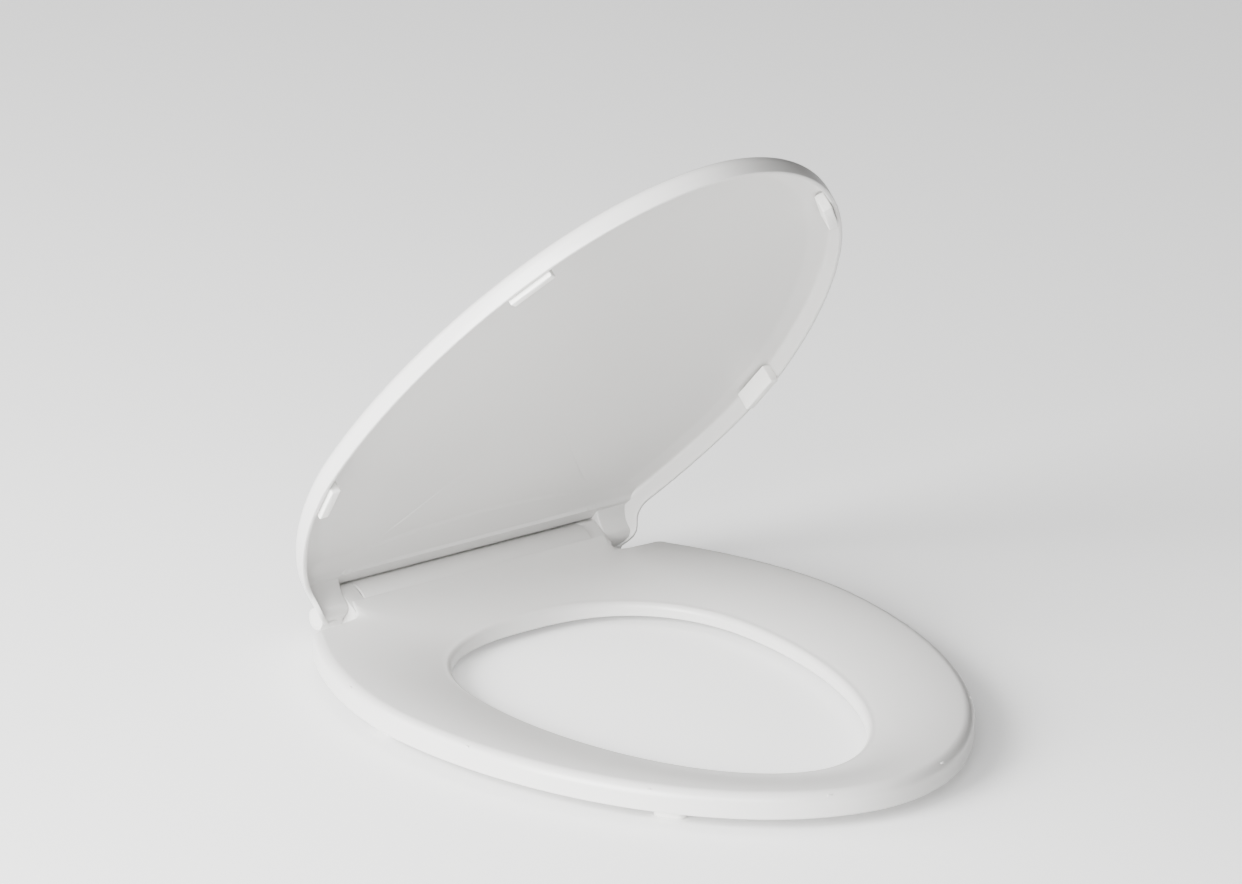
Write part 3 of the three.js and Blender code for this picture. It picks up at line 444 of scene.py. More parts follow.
def spark_textured_abs(name, tint):
    # ABS moulded against a spark-eroded face: an even 0.8 mm grain that breaks up the sheen, with
    # slight 15 mm changes of tone.
    material, tree, shader, where = new_material(name, tint, {"Roughness": 0.45, "IOR": 1.54})
    grain = noise(tree, where, 0.0008, 3.0)
    tone = noise(tree, where, 0.015, 2.0)
    tree.links.new(spread(tree, grain, 0.38, 0.52), shader.inputs["Roughness"])
    tree.links.new(tinted(tree, tone, shade_of(tint, 0.94), tint), shader.inputs["Base Color"])
    add_bump(tree, shader, grain, 0.00005, 0.4)
    return material


def natural_acetal(name, tint):
    # Unpigmented acetal: a waxy, slightly translucent white with a silky surface.
    material, tree, shader, where = new_material(
        name, tint, {"Roughness": 0.32, "IOR": 1.48, "Subsurface Weight": 0.15,
                                 "Subsurface Scale": 0.001})
    clouds = noise(tree, where, 0.006, 2.0)
    tree.links.new(tinted(tree, clouds, shade_of(tint, 0.95), tint), shader.inputs["Base Color"])
    tree.links.new(spread(tree, clouds, 0.28, 0.38), shader.inputs["Roughness"])
    add_bump(tree, shader, noise(tree, where, 0.0006, 2.0), 0.00002, 0.3)
    return material


def black_nitrile_rubber(name, tint):
    # Pressed nitrile rubber: matt black with a dusty bloom in 2 mm patches.
    material, tree, shader, where = new_material(
        name, tint, {"Roughness": 0.75, "IOR": 1.52})
    bloom = noise(tree, where, 0.002, 4.0)
    dusty = tuple(channel * 1.6 + 0.004 for channel in tint)
    tree.links.new(tinted(tree, bloom, tint, dusty), shader.inputs["Base Color"])
    tree.links.new(spread(tree, bloom, 0.65, 0.85), shader.inputs["Roughness"])
    add_bump(tree, shader, noise(tree, where, 0.0005, 3.0), 0.00004, 0.5)
    return material


def turned_stainless_steel(name, tint):
    # Turned stainless steel: fine rings left by the tool round the bar, which stretch highlights.
    material, tree, shader, where = new_material(
        name, tint, {"Roughness": 0.3, "Metallic": 1.0})
    rings = add_node(tree, "ShaderNodeMapping", {"Scale": (1 / 0.0004, 40.0, 40.0)},
                     {"Vector": where})
    marks = add_node(tree, "ShaderNodeTexNoise", {"Scale": 1.0, "Detail": 2.0},
                     {"Vector": rings.outputs[0]}).outputs["Fac"]
    tree.links.new(spread(tree, marks, 0.24, 0.38), shader.inputs["Roughness"])
    tree.links.new(tinted(tree, marks, shade_of(tint, 0.9), tint), shader.inputs["Base Color"])
    add_bump(tree, shader, marks, 0.00001, 0.3)
    return material


# What makes the finish of each slot, what it is called and which of the colours it takes.
SLOT_FINISHES = {
    "white_gloss": (moulded_polypropylene, "moulded_polypropylene", "moulding"),
    "white_rubber": (moulded_elastomer, "moulded_elastomer", "soft_white"),
    "base_plastic": (spark_textured_abs, "spark_textured_abs", "base"),
    "damper_plastic": (spark_textured_abs, "grey_damper_abs", "damper"),
    "acetal": (natural_acetal, "natural_acetal", "acetal"),
    "dark_rubber": (black_nitrile_rubber, "black_nitrile_rubber", "rubber"),
    "steel": (turned_stainless_steel, "turned_stainless_steel", "steel"),
}


def give_finish(mesh, slot):
    """Gives a mesh the material of its slot, which is made when it is first asked for."""
    make, name, tint = SLOT_FINISHES[slot]
    finishes = bpy.context.scene.seat_finishes
    mesh.materials.clear()
    mesh.materials.append(bpy.data.materials.get(name) or make(name, tuple(getattr(finishes, tint))))


# ---------- Seat ring ----------


# How far the straight slope on a lug runs forward and falls, and the two points of its foot.
LUG_SLOPE = (0.019, 0.010)
LUG_FOOT = ((-0.0194, -0.0090), (-0.0133, -0.0118))
LUG_ROUND = 0.00025
# Radius of each lug's bore: the left holds a bearing, the right a damper's shaft.
LUG_BORES = {-1: 0.0060, 1: 0.0043}
REAR_WALL = 0.008

# Height of the ramp's foot, and its bend as a share of its length before the lip and a height.
SEAT_RAMP_FOOT = -0.006
SEAT_RAMP_BEND = (0.28, 0.0016)
RAMP_FALL_BEFORE_FOOT = 0.35
RAMP_BLEND = 0.004

# Rounding of the edge at the end of the corner, at the end of the notch, beside the lug, at the lip.
CORNER_EDGE = 0.0045
NOTCH_EDGE = 0.0015
LUG_EDGE = 0.0010
LIP_EDGE = 0.0007
# The outline's steps at the end of the notch: outwards from the lug's outer face, and rearwards.
NOTCH_RISE = ((0.0010, 0.0), (0.0004, 0.0006), (0.0, 0.0020), (-0.0004, 0.0038))
# Least slant of a ray to an outline, where a sharp corner would stretch its insets.
LEAST_SLANT = 0.5
# Angle over which the width of the top is evened out.
WIDTH_SPREAD = 0.14

RIM_ROUND = 0.0008
# Foot of the opening's wall: distance from the wall's face and rise above its foot, in millimetres.
WALL_FOOT = ((0.25, 0.15), (1.0, 0.0), (2.2, 0.0), (2.95, 0.15))
ROOF_LIMIT = 0.006
RIB_THICKNESS = 0.0024
RIB_ABOVE_RIM = 0.003
BOSS_BELOW_TOP = 0.0027
BOSS_ROUND = 0.0004


class SeatShape:
    """The ring's outline, its matching line round the opening and the height of its top."""

    def __init__(self, seat, hinge):
        self.seat = seat
        self.hinge = hinge
        groove = hinge.barrel_radius + hinge.gap
        self.groove = groove
        self.lip_y = groove * math.cos(hinge.lip_angle)
        self.lip_z = groove * math.sin(hinge.lip_angle)
        self.lug_outer = hinge.half_length + hinge.gap + hinge.lug_width
        self.outline()
        self.ramp()

    def outline(self):
        """Runs round the egg, the rounded corner, the notch for the ear and the lip."""
        seat = self.seat
        notch_y = -(self.hinge.barrel_radius + 2 * self.hinge.gap)
        turn = egg_angle_at(seat, notch_y - seat.corner_radius)
        corner_edge = egg(seat, turn)
        normal = egg_normal(seat, turn)
        centre = corner_edge - normal * seat.corner_radius
        slope = math.degrees(math.atan2(normal[1], normal[0]))
        egg_places = np.linspace(-math.pi / 2, turn, 190)
        points = [egg(seat, t) for t in egg_places]
        radii = [seat.edge_radius] * len(points)
        rear = [0.0] * len(points)
        corner = arc(centre, seat.corner_radius, slope, 90, 12)[1:]
        points += [np.array(p) for p in corner]
        radii += list(np.linspace(seat.edge_radius, CORNER_EDGE, len(corner)))
        rear += [0.0] * len(corner)
        notch = np.arange(corner[-1][0] - MM, self.lug_outer + 1.5 * MM, -MM)
        notch_line = centre[1] + seat.corner_radius
        points += [np.array([x, notch_line]) for x in notch]
        radii += list(np.linspace(CORNER_EDGE, NOTCH_EDGE, len(notch)))
        rear += [0.0] * len(notch)
        for dx, dy in NOTCH_RISE:
            points.append(np.array([self.lug_outer + dx, notch_line + dy]))
            radii.append(LUG_EDGE)
            rear.append(0.0)
        fine = np.arange(self.lug_outer - 1.2 * MM, self.lug_outer - 14 * MM, -MM)
        wide = np.linspace(self.lug_outer - 14.5 * MM, 0, 44)
        lip = np.concatenate([fine, wide])
        points += [np.array([x, self.lip_y]) for x in lip]
        radii += [LIP_EDGE] * len(lip)
        rear += [1.0] * len(lip)
        half = np.array(points)
        behind = half[len(egg_places) - 1:]
        travelled = np.concatenate([[0], np.cumsum(np.linalg.norm(np.diff(behind, axis=0), axis=1))])
        inner_places = turn + (math.pi / 2 - turn) * travelled / travelled[-1]
        inner_places = np.concatenate([egg_places[:-1], inner_places])
        inner_half = np.array([egg(seat, t, opening=True) for t in inner_places])
        self.outer = mirrored(half)
        self.inner = mirrored(inner_half)
        self.radius = mirrored_values(np.array(radii))
        self.rear = mirrored_values(np.array(rear))
        self.inwards = self.inner - self.outer
        self.span = np.linalg.norm(self.inwards, axis=1)
        self.inwards /= self.span[:, None]
        outer_dot = -np.sum(normals_of(self.outer) * self.inwards, axis=1)
        inner_dot = -np.sum(normals_of(self.inner) * self.inwards, axis=1)
        self.outer_scale = 1 / np.maximum(outer_dot, LEAST_SLANT)
        self.inner_scale = 1 / np.maximum(inner_dot, LEAST_SLANT)
        self.smooth_width()

    def smooth_width(self):
        """The width of the top with the steps at the notches evened out."""
        self.stop = self.span - self.seat.opening_radius * self.inner_scale
        width = self.stop - self.radius * self.outer_scale
        x, y = (self.inner - self.inner.mean(axis=0)).T
        towards = np.unwrap(np.arctan2(y, x))
        spacing = np.abs(np.gradient(towards))
        apart = (towards[:, None] - towards + math.pi) % (2 * math.pi) - math.pi
        weights = np.exp(-(apart / WIDTH_SPREAD) ** 2 / 2) * spacing
        self.width = weights @ width / weights.sum(axis=1)

    def level(self, along):
        """How far a place is from the opening, 0, to the edge, 1."""
        return np.clip((self.stop - along) / self.width, 0, 1)

    def ramp(self):
        """The side view of the ramp that climbs to the lip, as heights along Y."""
        front = self.lip_y - self.seat.ramp_length
        share, height = SEAT_RAMP_BEND
        bend_y = self.lip_y - share * self.seat.ramp_length
        t = np.linspace(0, 1, 80)
        self.ramp_y = (1 - t) ** 2 * front + 2 * t * (1 - t) * bend_y + t * t * self.lip_y
        self.ramp_z = (1 - t) ** 2 * SEAT_RAMP_FOOT + 2 * t * (1 - t) * height + t * t * self.lip_z

    def top(self, places, share):
        """The height of the top at places that are that share of the way from opening to edge."""
        seat = self.seat
        dish = seat.top - seat.dish_drop * np.clip(1 - share, 0, 1) ** seat.dish_power
        x, y = np.abs(places[:, 0]), places[:, 1]
        ramp = np.interp(y, self.ramp_y, self.ramp_z)
        ramp = ramp - np.maximum(self.ramp_y[0] - y, 0) * RAMP_FALL_BEFORE_FOOT
        before_lug = np.maximum(-LUG_SLOPE[0] - y, 0)
        side = self.lug_outer + 2.5 * MM
        fade = 1 - smooth_step(x, side - 5 * MM - 1.5 * before_lug, side + 1.2 * before_lug)
        return dish + fade * (smooth_max(dish, ramp, RAMP_BLEND) - dish)

    def from_edge(self, distance):
        return self.outer + self.inwards * (distance * self.outer_scale)[:, None]

    def at(self, along):
        return self.outer + self.inwards * along[:, None]


def with_height(places, heights):
    heights = np.broadcast_to(heights, (len(places),))
    return np.column_stack([places, heights])


def seat_rows(shape):
    """Rings of the seat's closed surface, over its side, top, opening and underside."""
    seat = shape.seat
    start = shape.radius * shape.outer_scale
    stop = shape.stop
    edge_top = shape.top(shape.at(start), shape.level(start))
    inner_top = shape.top(shape.at(stop), shape.level(stop))
    rows = []

    def groove(z):
        """How far the rear wall gives way to the barrel at that height."""
        bulge = np.sqrt(np.maximum(shape.groove ** 2 - z ** 2, shape.lip_y ** 2)) + shape.lip_y
        return shape.rear * bulge

    bottom = np.full(len(start), seat.bottom)
    side_top = edge_top - shape.radius
    for inset, rise in ((1.0, 0.0), (0.3, 0.3), (0.0, 1.0)):
        z = bottom + rise * RIM_ROUND
        rows.append(with_height(shape.from_edge(groove(z) + inset * RIM_ROUND), z))
    for share in np.linspace(0.12, 1, 9):
        z = bottom + RIM_ROUND + (side_top - bottom - RIM_ROUND) * share
        rows.append(with_height(shape.from_edge(groove(z)), z))
    for turn in np.radians(np.linspace(10, 90, 9)):
        z = side_top + shape.radius * math.sin(turn)
        inset = np.maximum(shape.radius * (1 - math.cos(turn)), groove(z))
        rows.append(with_height(shape.from_edge(inset), z))
    for share in np.linspace(0.03, 1, 34) ** 1.15:
        along = start + (stop - start) * share
        rows.append(with_height(shape.at(along), shape.top(shape.at(along), shape.level(along))))
    for turn in np.radians(np.linspace(78, 0, 7)):
        along = shape.span - seat.opening_radius * (1 - math.cos(turn)) * shape.inner_scale
        z = inner_top - seat.opening_radius * (1 - math.sin(turn))
        rows.append(with_height(shape.at(along), z))
    foot = seat.bottom - seat.wall_below_rim
    wall_top = inner_top - seat.opening_radius
    for share in (0.35, 0.7, 0.93):
        rows.append(with_height(shape.inner, wall_top + (foot - wall_top) * share))
    for inset, rise in WALL_FOOT:
        along = shape.span - inset * MM * shape.inner_scale
        rows.append(with_height(shape.at(along), foot + rise * MM))
    hollow_stop = shape.span - seat.skin * shape.inner_scale
    hollow_start = np.maximum(seat.skin, shape.rear * REAR_WALL) * shape.outer_scale
    rows.append(with_height(shape.at(hollow_stop), seat.bottom))
    for share in np.linspace(1, 0, 14):
        along = hollow_start + (hollow_stop - hollow_start) * share
        places = shape.at(along)
        roof = shape.top(places, shape.level(along)) - seat.skin
        rows.append(with_height(places, np.minimum(roof, seat.top + ROOF_LIMIT - seat.skin)))
    rows.append(with_height(shape.at(hollow_start), seat.bottom + RIM_ROUND))
    rows.append(with_height(shape.at(hollow_start - RIM_ROUND), seat.bottom))
    return rows


def lug_side(shape):
    """Side view of a lug: a disc about the hinge axis whose top falls in a straight slope."""
    run, drop = LUG_SLOPE
    radius = shape.hinge.barrel_radius
    outline = list(LUG_FOOT)
    outline += arc((0, 0), radius, 222, 450, 60)
    steps = np.linspace(0.1, 1, 8)
    outline += [(-run * s, radius - drop * s) for s in steps]
    return outline


def seat_lugs(shape):
    inner = shape.hinge.half_length + shape.hinge.gap
    lugs = []
    for side in (-1, 1):
        start, end = side * inner, side * shape.lug_outer
        lugs.append(rounded_prism("lug", lug_side(shape), start, end, LUG_ROUND, along_x))
    return lugs


def lug_bores(shape):
    """A bore for the bearing on the left and for the damper's shaft on the right."""
    reach = shape.hinge.half_length, shape.lug_outer + MM
    return [round_cut(LUG_BORES[side], side * reach[0], side * reach[1]) for side in (-1, 1)]


def seat_ribs(shape):
    """Ribs that follow the underside of the top from the opening's wall to the side."""
    seat = shape.seat
    low = seat.bottom + RIB_ABOVE_RIM
    ribs = []
    for n in range(seat.rib_count):
        at = (n + 0.5) * 2 * math.pi / seat.rib_count
        ray = egg(seat, at, opening=True)
        i = int(np.argmin(np.linalg.norm(shape.inner - ray, axis=1)))
        ahead = np.array([-shape.inwards[i][1], shape.inwards[i][0]]) * RIB_THICKNESS / 2
        rings = []
        for share in np.linspace(0.02, 0.985, 16):
            middle = shape.outer[i] + shape.inwards[i] * shape.span[i] * share
            top = shape.top(np.array([middle]), np.array([1 - share]))[0] - seat.skin / 2
            a, b = middle + ahead, middle - ahead
            rings.append([(*a, low), (*b, low), (*b, top), (*a, top)])
        ribs.append(loft("rib", rings, ends="closed"))
    return ribs


def bumper_place(sizes, at, inset):
    """The middle of a bumper and its turn, from its place round an outline."""
    normal = egg_normal(sizes, at)
    middle = egg(sizes, at) - normal * inset
    return middle, math.atan2(normal[1], normal[0]) + math.pi / 2


def bumper_angles(bumpers):
    return {
        "front_left": math.pi - bumpers.front_angle,
        "front_right": bumpers.front_angle,
        "rear_left": math.pi - bumpers.rear_angle,
        "rear_right": bumpers.rear_angle,
    }


def stadium(half_length, radius, count=10):
    ends = [(half_length - radius, -90), (radius - half_length, 90)]
    return [p for x, start in ends for p in arc((x, 0), radius, start, start + 180, count)]


def turned_prism(name, outline, low, high, radius, middle, turn):
    piece = rounded_prism(name, outline, low, high, radius, along_z)
    piece.data.transform(Matrix.Translation((*middle, 0)) @ Matrix.Rotation(turn, 4, "Z"))
    return piece


def seat_bosses(shape, bumpers):
    """Blocks inside the hollow, over each foot."""
    bosses = []
    for at in bumper_angles(bumpers).values():
        middle, turn = bumper_place(shape.seat, at, bumpers.foot_inset)
        outline = stadium(bumpers.foot_length / 2 + MM, bumpers.foot_width / 2 + MM)
        top = shape.seat.top - BOSS_BELOW_TOP
        bosses.append(turned_prism("boss", outline, shape.seat.bottom, top, BOSS_ROUND, middle, turn))
    return bosses


class SEAT_OT_ring(bpy.types.Operator):
    """Makes the seat ring with its ramp, lugs, hollow underside, ribs and bosses"""

    bl_idname = "toilet_seat.ring"
    bl_label = "Seat ring"

    def execute(self, context):
        scene = context.scene
        shape = SeatShape(scene.seat_sizes, scene.hinge_sizes)
        ring = loft("seat_ring_moulding", seat_rows(shape))
        solids = seat_lugs(shape) + seat_ribs(shape) + seat_bosses(shape, scene.bumper_sizes)
        place(join(join(ring, solids), lug_bores(shape), "DIFFERENCE"))
        finish_piece(ring, "seat_ring", "seat", "white_gloss")
        return {"FINISHED"}


# ---------- Lid ----------


LID_CORNER_RADIUS = 0.0035
HOOD_EDGE_RADIUS = 0.0012
# How much nearer the barrel the hood's underside is over the barrel's crest than at its edge.
HOOD_TUCK = 0.0011

# The ramp's rise: the share that comes early and so bows it, and the small steps at its two edges.
RAMP_CROWN = 0.45
RIDGE_HEIGHT, RIDGE_LENGTH = 0.0014, 0.0016
FOOT_HEIGHT = 0.0006

# The edge's profile turns from the rim to the inner wall at this point.
INNER_WALL_START = 8
LEDGE_START = 0.0016
INSIDE_BLEND = 0.0003
# How far inwards the rings follow the outline, on the inside and on the top.
INSIDE_BAND = 0.060
TOP_BAND = 0.030
# Share of the dome's rise that is left where the band round the top begins.
DOME_AT_BAND = 0.35

# The side wall's rim sweeps down behind the ring's corner, so that the wall covers the ear.
RIM_SWEEP_Y = [y * MM for y in (-30, -27, -24, -21.5, -19.6, -18.2, -17, -15.2, -12.5, -9)]
RIM_SWEEP_Z = [z * MM for z in (7.1, 6.7, 5.6, 4.0, 1.9, -0.6, -2.9, -5.3, -6.9, -7.4)]


class LidShape:
    """The lid's outline, and the profile of its edge at each place round it."""

    def __init__(self, lid, hinge):
        self.lid = lid
        self.hinge = hinge
        self.hood = hinge.barrel_radius + hinge.lid_to_barrel
        self.edge_y = self.hood * math.cos(hinge.lid_edge_angle)
        self.edge_z = self.hood * math.sin(hinge.lid_edge_angle)
        self.top = lid.rim + lid.depth
        self.ear_inner = hinge.half_length + 2 * hinge.gap + hinge.lug_width
        self.outline()

    def outline(self):
        """Runs round the egg, a rounded rear corner and the straight rear edge of the hood."""
        lid = self.lid
        radius = LID_CORNER_RADIUS
        turn = egg_angle_at(lid, -radius)
        normal = egg_normal(lid, turn)
        centre = egg(lid, turn) - normal * radius
        slope = math.degrees(math.atan2(normal[1], normal[0]))
        coarse = np.linspace(-math.pi / 2, turn - 0.2, 170)
        egg_places = np.concatenate([coarse, np.linspace(turn - 0.2, turn, 70)[1:]])
        points = [egg(lid, t) for t in egg_places]
        corner = arc(centre, radius, slope, 90, 8)[1:]
        points += [np.array(p) for p in corner]
        rear_y = corner[-1][1]
        fine = np.arange(corner[-1][0] - MM, self.ear_inner - 3 * MM, -0.8 * MM)
        wide = np.linspace(fine[-1] - 2 * MM, 0, 44)
        points += [np.array([x, rear_y]) for x in np.concatenate([fine, wide])]
        half = np.array(points)
        self.outer = mirrored(half)
        self.rear_y = rear_y
        middle = np.array([0, lid.widest_y])
        self.middle = middle
        self.inwards = middle - self.outer
        self.span = np.linalg.norm(self.inwards, axis=1)
        self.inwards /= self.span[:, None]
        dot = -np.sum(normals_of(self.outer) * self.inwards, axis=1)
        self.scale = 1 / np.maximum(dot, LEAST_SLANT)
        x, y = np.abs(self.outer[:, 0]), self.outer[:, 1]
        behind = (y > -0.003) * 1.0
        self.rear = behind * (1 - smooth_step(x, self.ear_inner + 5 * MM, self.ear_inner + 9 * MM))
        self.rim = np.interp(y, RIM_SWEEP_Y, RIM_SWEEP_Z)

    def from_edge(self, distance):
        return self.outer + self.inwards * (distance * self.scale)[:, None]

    def side_profile(self, rim):
        """Rim, inner wall and start of the ledge, as distance inwards and height."""
        lid = self.lid
        wall = lid.wall
        floor = self.top - lid.floor
        ledge = floor - lid.ledge_step
        points = [(0, rim + 0.0012), (0.0002, rim + 0.0005), (0.0007, rim + 0.0001),
                  (0.0013, rim), (wall - 0.0010, rim), (wall - 0.0005, rim + 0.0001),
                  (wall - 0.0001, rim + 0.0005), (wall, rim + 0.0011)]
        rise = ledge - rim
        points += [(wall + 0.0006 * s, rim + rise * s) for s in (0.3, 0.5, 0.7, 0.86)]
        points += [(wall + 0.0009, ledge - 0.0006), (wall + LEDGE_START, ledge - 0.0001)]
        return np.array(points)

    def rear_profile(self):
        """Underside of the hood and the edge of the land, as distance inwards and height."""
        back = self.rear_y
        last = math.degrees(self.hinge.lid_edge_angle) - 1.5
        points = [(0.0, self.hood + 0.0010), (0.0003, self.hood + 0.0002)]
        for share in np.linspace(0, 1, 9):
            turn = math.radians(91 + (last - 91) * share)
            radius = self.hood - HOOD_TUCK * (1 - share) ** 0.5
            points.append((back - radius * math.cos(turn), radius * math.sin(turn)))
        edge = back - self.edge_y
        points += [(edge + 0.0001, self.edge_z), (edge + 0.0004, self.edge_z - 0.0001)]
        points += [(edge + 0.0010, self.edge_z)]
        return np.array(points)

    def rear_height(self, places):
        """Height of the land and of the ramp before it, which is shorter near its ends."""
        lid = self.lid
        x, y = np.abs(places[:, 0]), places[:, 1]
        before_edge = self.edge_y - y
        reach = lid.ramp_length - lid.ramp_bow * np.minimum(x / self.ear_inner, 1) ** 2
        rise = self.top - lid.floor - self.edge_z
        share = (before_edge - lid.land_length) / reach
        curve = (1 - RAMP_CROWN) * share + RAMP_CROWN * (1 - (1 - share) ** 3)
        ridge_end = lid.land_length + RIDGE_LENGTH
        ridge = RIDGE_HEIGHT * smooth_step(before_edge, lid.land_length, ridge_end)
        foot = FOOT_HEIGHT * smooth_step(share, 0.98, 1.04)
        ramp = ridge + foot + (rise - RIDGE_HEIGHT - FOOT_HEIGHT) * curve
        return self.edge_z + np.maximum(ramp, 0)

    def inside(self, places, distance):
        """Height of the inside: the ledge and the floor, or the land and the ramp at the rear."""
        lid = self.lid
        beyond = distance - lid.wall - LEDGE_START
        share = np.clip(beyond / (lid.ledge_width - LEDGE_START), 0, 1)
        floor = self.top - lid.floor
        side = floor - lid.ledge_step * (1 - share) * (1 - self.rear)
        return -smooth_max(-side, -self.rear_height(places), INSIDE_BLEND)

    def edge_profiles(self):
        """At each place, the side's profile, the rear's, or between them at the corner."""
        profiles = []
        rear = self.rear_profile()
        for i in range(len(self.outer)):
            share = self.rear[i]
            side = self.side_profile(self.rim[i])
            profiles.append(side * (1 - share) + rear * share)
        return np.array(profiles)


def lid_rows(shape):
    """Rings of the lid's closed surface: top from its middle, edge, inside back to its middle."""
    lid = shape.lid
    rows = []
    top, rear = shape.top, shape.rear
    radius = lid.edge_radius * (1 - rear) + HOOD_EDGE_RADIUS * rear
    band_places = shape.from_edge(np.full(len(rear), TOP_BAND))
    for share in (0.03, 0.12, 0.25, 0.4, 0.55, 0.7, 0.85):
        places = shape.middle + (band_places - shape.middle) * share
        height = top + lid.dome * (1 - (1 - DOME_AT_BAND) * share ** 2)
        rows.append(with_height(places, height))
    for inset in np.linspace(TOP_BAND, 0.4 * TOP_BAND, 4):
        share = (inset - radius) / (TOP_BAND - radius)
        height = top + DOME_AT_BAND * lid.dome * share ** 1.5
        rows.append(with_height(shape.from_edge(np.full(len(rear), inset)), height))
    for turn in np.radians(np.linspace(90, 0, 11)):
        inset = radius * (1 - math.cos(turn))
        rows.append(with_height(shape.from_edge(inset), top - radius * (1 - math.sin(turn))))
    profiles = shape.edge_profiles()
    side_foot, side_top = profiles[:, 0, 1], top - radius
    rows.append(with_height(shape.outer, (side_top + side_foot) / 2))
    for k in range(profiles.shape[1]):
        places, heights = shape.from_edge(profiles[:, k, 0]), profiles[:, k, 1]
        if k >= INNER_WALL_START:
            heights = np.minimum(heights, shape.rear_height(places) + shape.rear * MM)
        rows.append(with_height(places, heights))
    first = profiles[:, -1, 0]
    for share in np.linspace(0.04, 1, 30) ** 1.1:
        distance = first + (INSIDE_BAND - first) * share
        places = shape.from_edge(distance)
        rows.append(with_height(places, shape.inside(places, distance)))
    last = shape.from_edge(np.full(len(rear), INSIDE_BAND))
    for share in (0.93, 0.84, 0.72, 0.58, 0.44, 0.3, 0.16, 0.05):
        places = shape.middle + (last - shape.middle) * share
        rows.append(with_height(places, top - lid.floor + lid.dome * (1 - share ** 2)))
    return rows


# An ear's front face, as the ends and the bend of a curve, and the arc of its round foot.
EAR_FACE = ((-0.0215, 0.0152), (-0.0158, 0.0090), (-0.0154, 0.0000))
EAR_FOOT_CENTRE, EAR_FOOT_RADIUS = (-0.0098, -0.0008), 0.0056
EAR_REAR = -0.0010
EAR_BOTTOM = -0.0060
EAR_BELOW_TOP = 0.0022
EAR_ROUND, BOSS_END_ROUND = 0.0009, 0.0008
EAR_BOSS_RADIUS = 0.0074
# The lean of the ear's outer side, outwards for each metre forwards of where it starts.
EAR_SLANT, SLANT_START = 0.55, -0.008
# Radius and depth of the seat for a cap, and the radius of each ear's bore.
CAP_SEAT = (0.0055, 0.0019)
SHAFT_BORES = {-1: 0.0043, 1: 0.0044}
CUT_ROUND = 0.0001


def ear_side(shape):
    """Side view of an ear's tab: a front face that curves down from the land to a round foot."""
    roof = shape.top - EAR_BELOW_TOP
    outline = [(EAR_REAR, roof), (EAR_FACE[0][0], roof)]
    for t in np.linspace(0, 1, 14):
        weights = (1 - t) ** 2, 2 * t * (1 - t), t * t
        outline.append(tuple(np.dot(weights, EAR_FACE)))
    outline += arc(EAR_FOOT_CENTRE, EAR_FOOT_RADIUS, 188, 268, 14)
    outline += [(EAR_REAR, EAR_BOTTOM)]
    return outline


def lid_ears(shape):
    """Each ear is a tab, whose outer side follows the lid's outline, and a boss about the axis."""
    width = shape.hinge.ear_width
    ears = []
    for side in (-1, 1):
        start, end = side * shape.ear_inner, side * (shape.ear_inner + width)

        def slanted(y, z, x, side=side):
            share = (abs(x) - shape.ear_inner) / width
            return (x - side * share * (y - SLANT_START) * EAR_SLANT, y, z)

        ears.append(rounded_prism("ear", ear_side(shape), start, end, EAR_ROUND, slanted))
        disc = arc((0, 0), EAR_BOSS_RADIUS, 0, 360, 48)[:-1]
        ears.append(rounded_prism("boss", disc, start, end, BOSS_END_ROUND, along_x))
    return ears


def round_cut(radius, start, end):
    disc = arc((0, 0), radius, 0, 360, 48)[:-1]
    return rounded_prism("cut", disc, start, end, CUT_ROUND, along_x)


def ear_bores(shape):
    """The bores for the shaft or its bearing, and the seats of the caps."""
    inner = shape.ear_inner
    outer = inner + shape.hinge.ear_width
    radius, depth = CAP_SEAT
    bores = []
    for side in (-1, 1):
        bores.append(round_cut(SHAFT_BORES[side], side * (inner - MM), side * (outer - MM)))
        bores.append(round_cut(radius, side * (outer - depth), side * (outer + MM)))
    return bores


class SEAT_OT_lid(bpy.types.Operator):
    """Makes the lid with its ledge, rear ramp, hood and ears, open at its rest angle"""

    bl_idname = "toilet_seat.lid"
    bl_label = "Lid"

    def execute(self, context):
        scene = context.scene
        shape = LidShape(scene.lid_sizes, scene.hinge_sizes)
        lid = loft("lid_moulding", lid_rows(shape), ends="poles")
        join(join(lid, lid_ears(shape)), ear_bores(shape), "DIFFERENCE")
        place(lid, -shape.lid.open_angle)
        finish_piece(lid, "lid_shell", "lid", "white_gloss")
        return {"FINISHED"}


# ---------- Barrel, bumpers and hinge parts ----------


# The cover's first and last place round the barrel, in degrees, and the rounding of its edges.
COVER_ARC = (-38, 200)
COVER_ROUND = 0.0002
# Clearance between a bumper and the moulding it meets, and the rounding of its parts.
BUMPER_GAP = 0.0003
FOOT_ROUND = 0.0018
STRIP_ROUND, STRIP_CORNER = 0.0009, 0.0010


class SEAT_OT_barrel(bpy.types.Operator):
    """Makes the cover of the barrel, which snaps over the dampers"""

    bl_idname = "toilet_seat.barrel"
    bl_label = "Barrel cover"

    def execute(self, context):
        hinge = context.scene.hinge_sizes
        first, last = COVER_ARC
        outline = arc((0, 0), hinge.barrel_radius, first, last, 90)
        outline += arc((0, 0), hinge.barrel_radius - hinge.cover_wall, last, first, 90)
        cover = rounded_prism("barrel_cover_moulding", outline, -hinge.half_length,
                              hinge.half_length, COVER_ROUND, along_x)
        place(cover)
        finish_piece(cover, "barrel_cover", "base", "white_gloss")
        return {"FINISHED"}


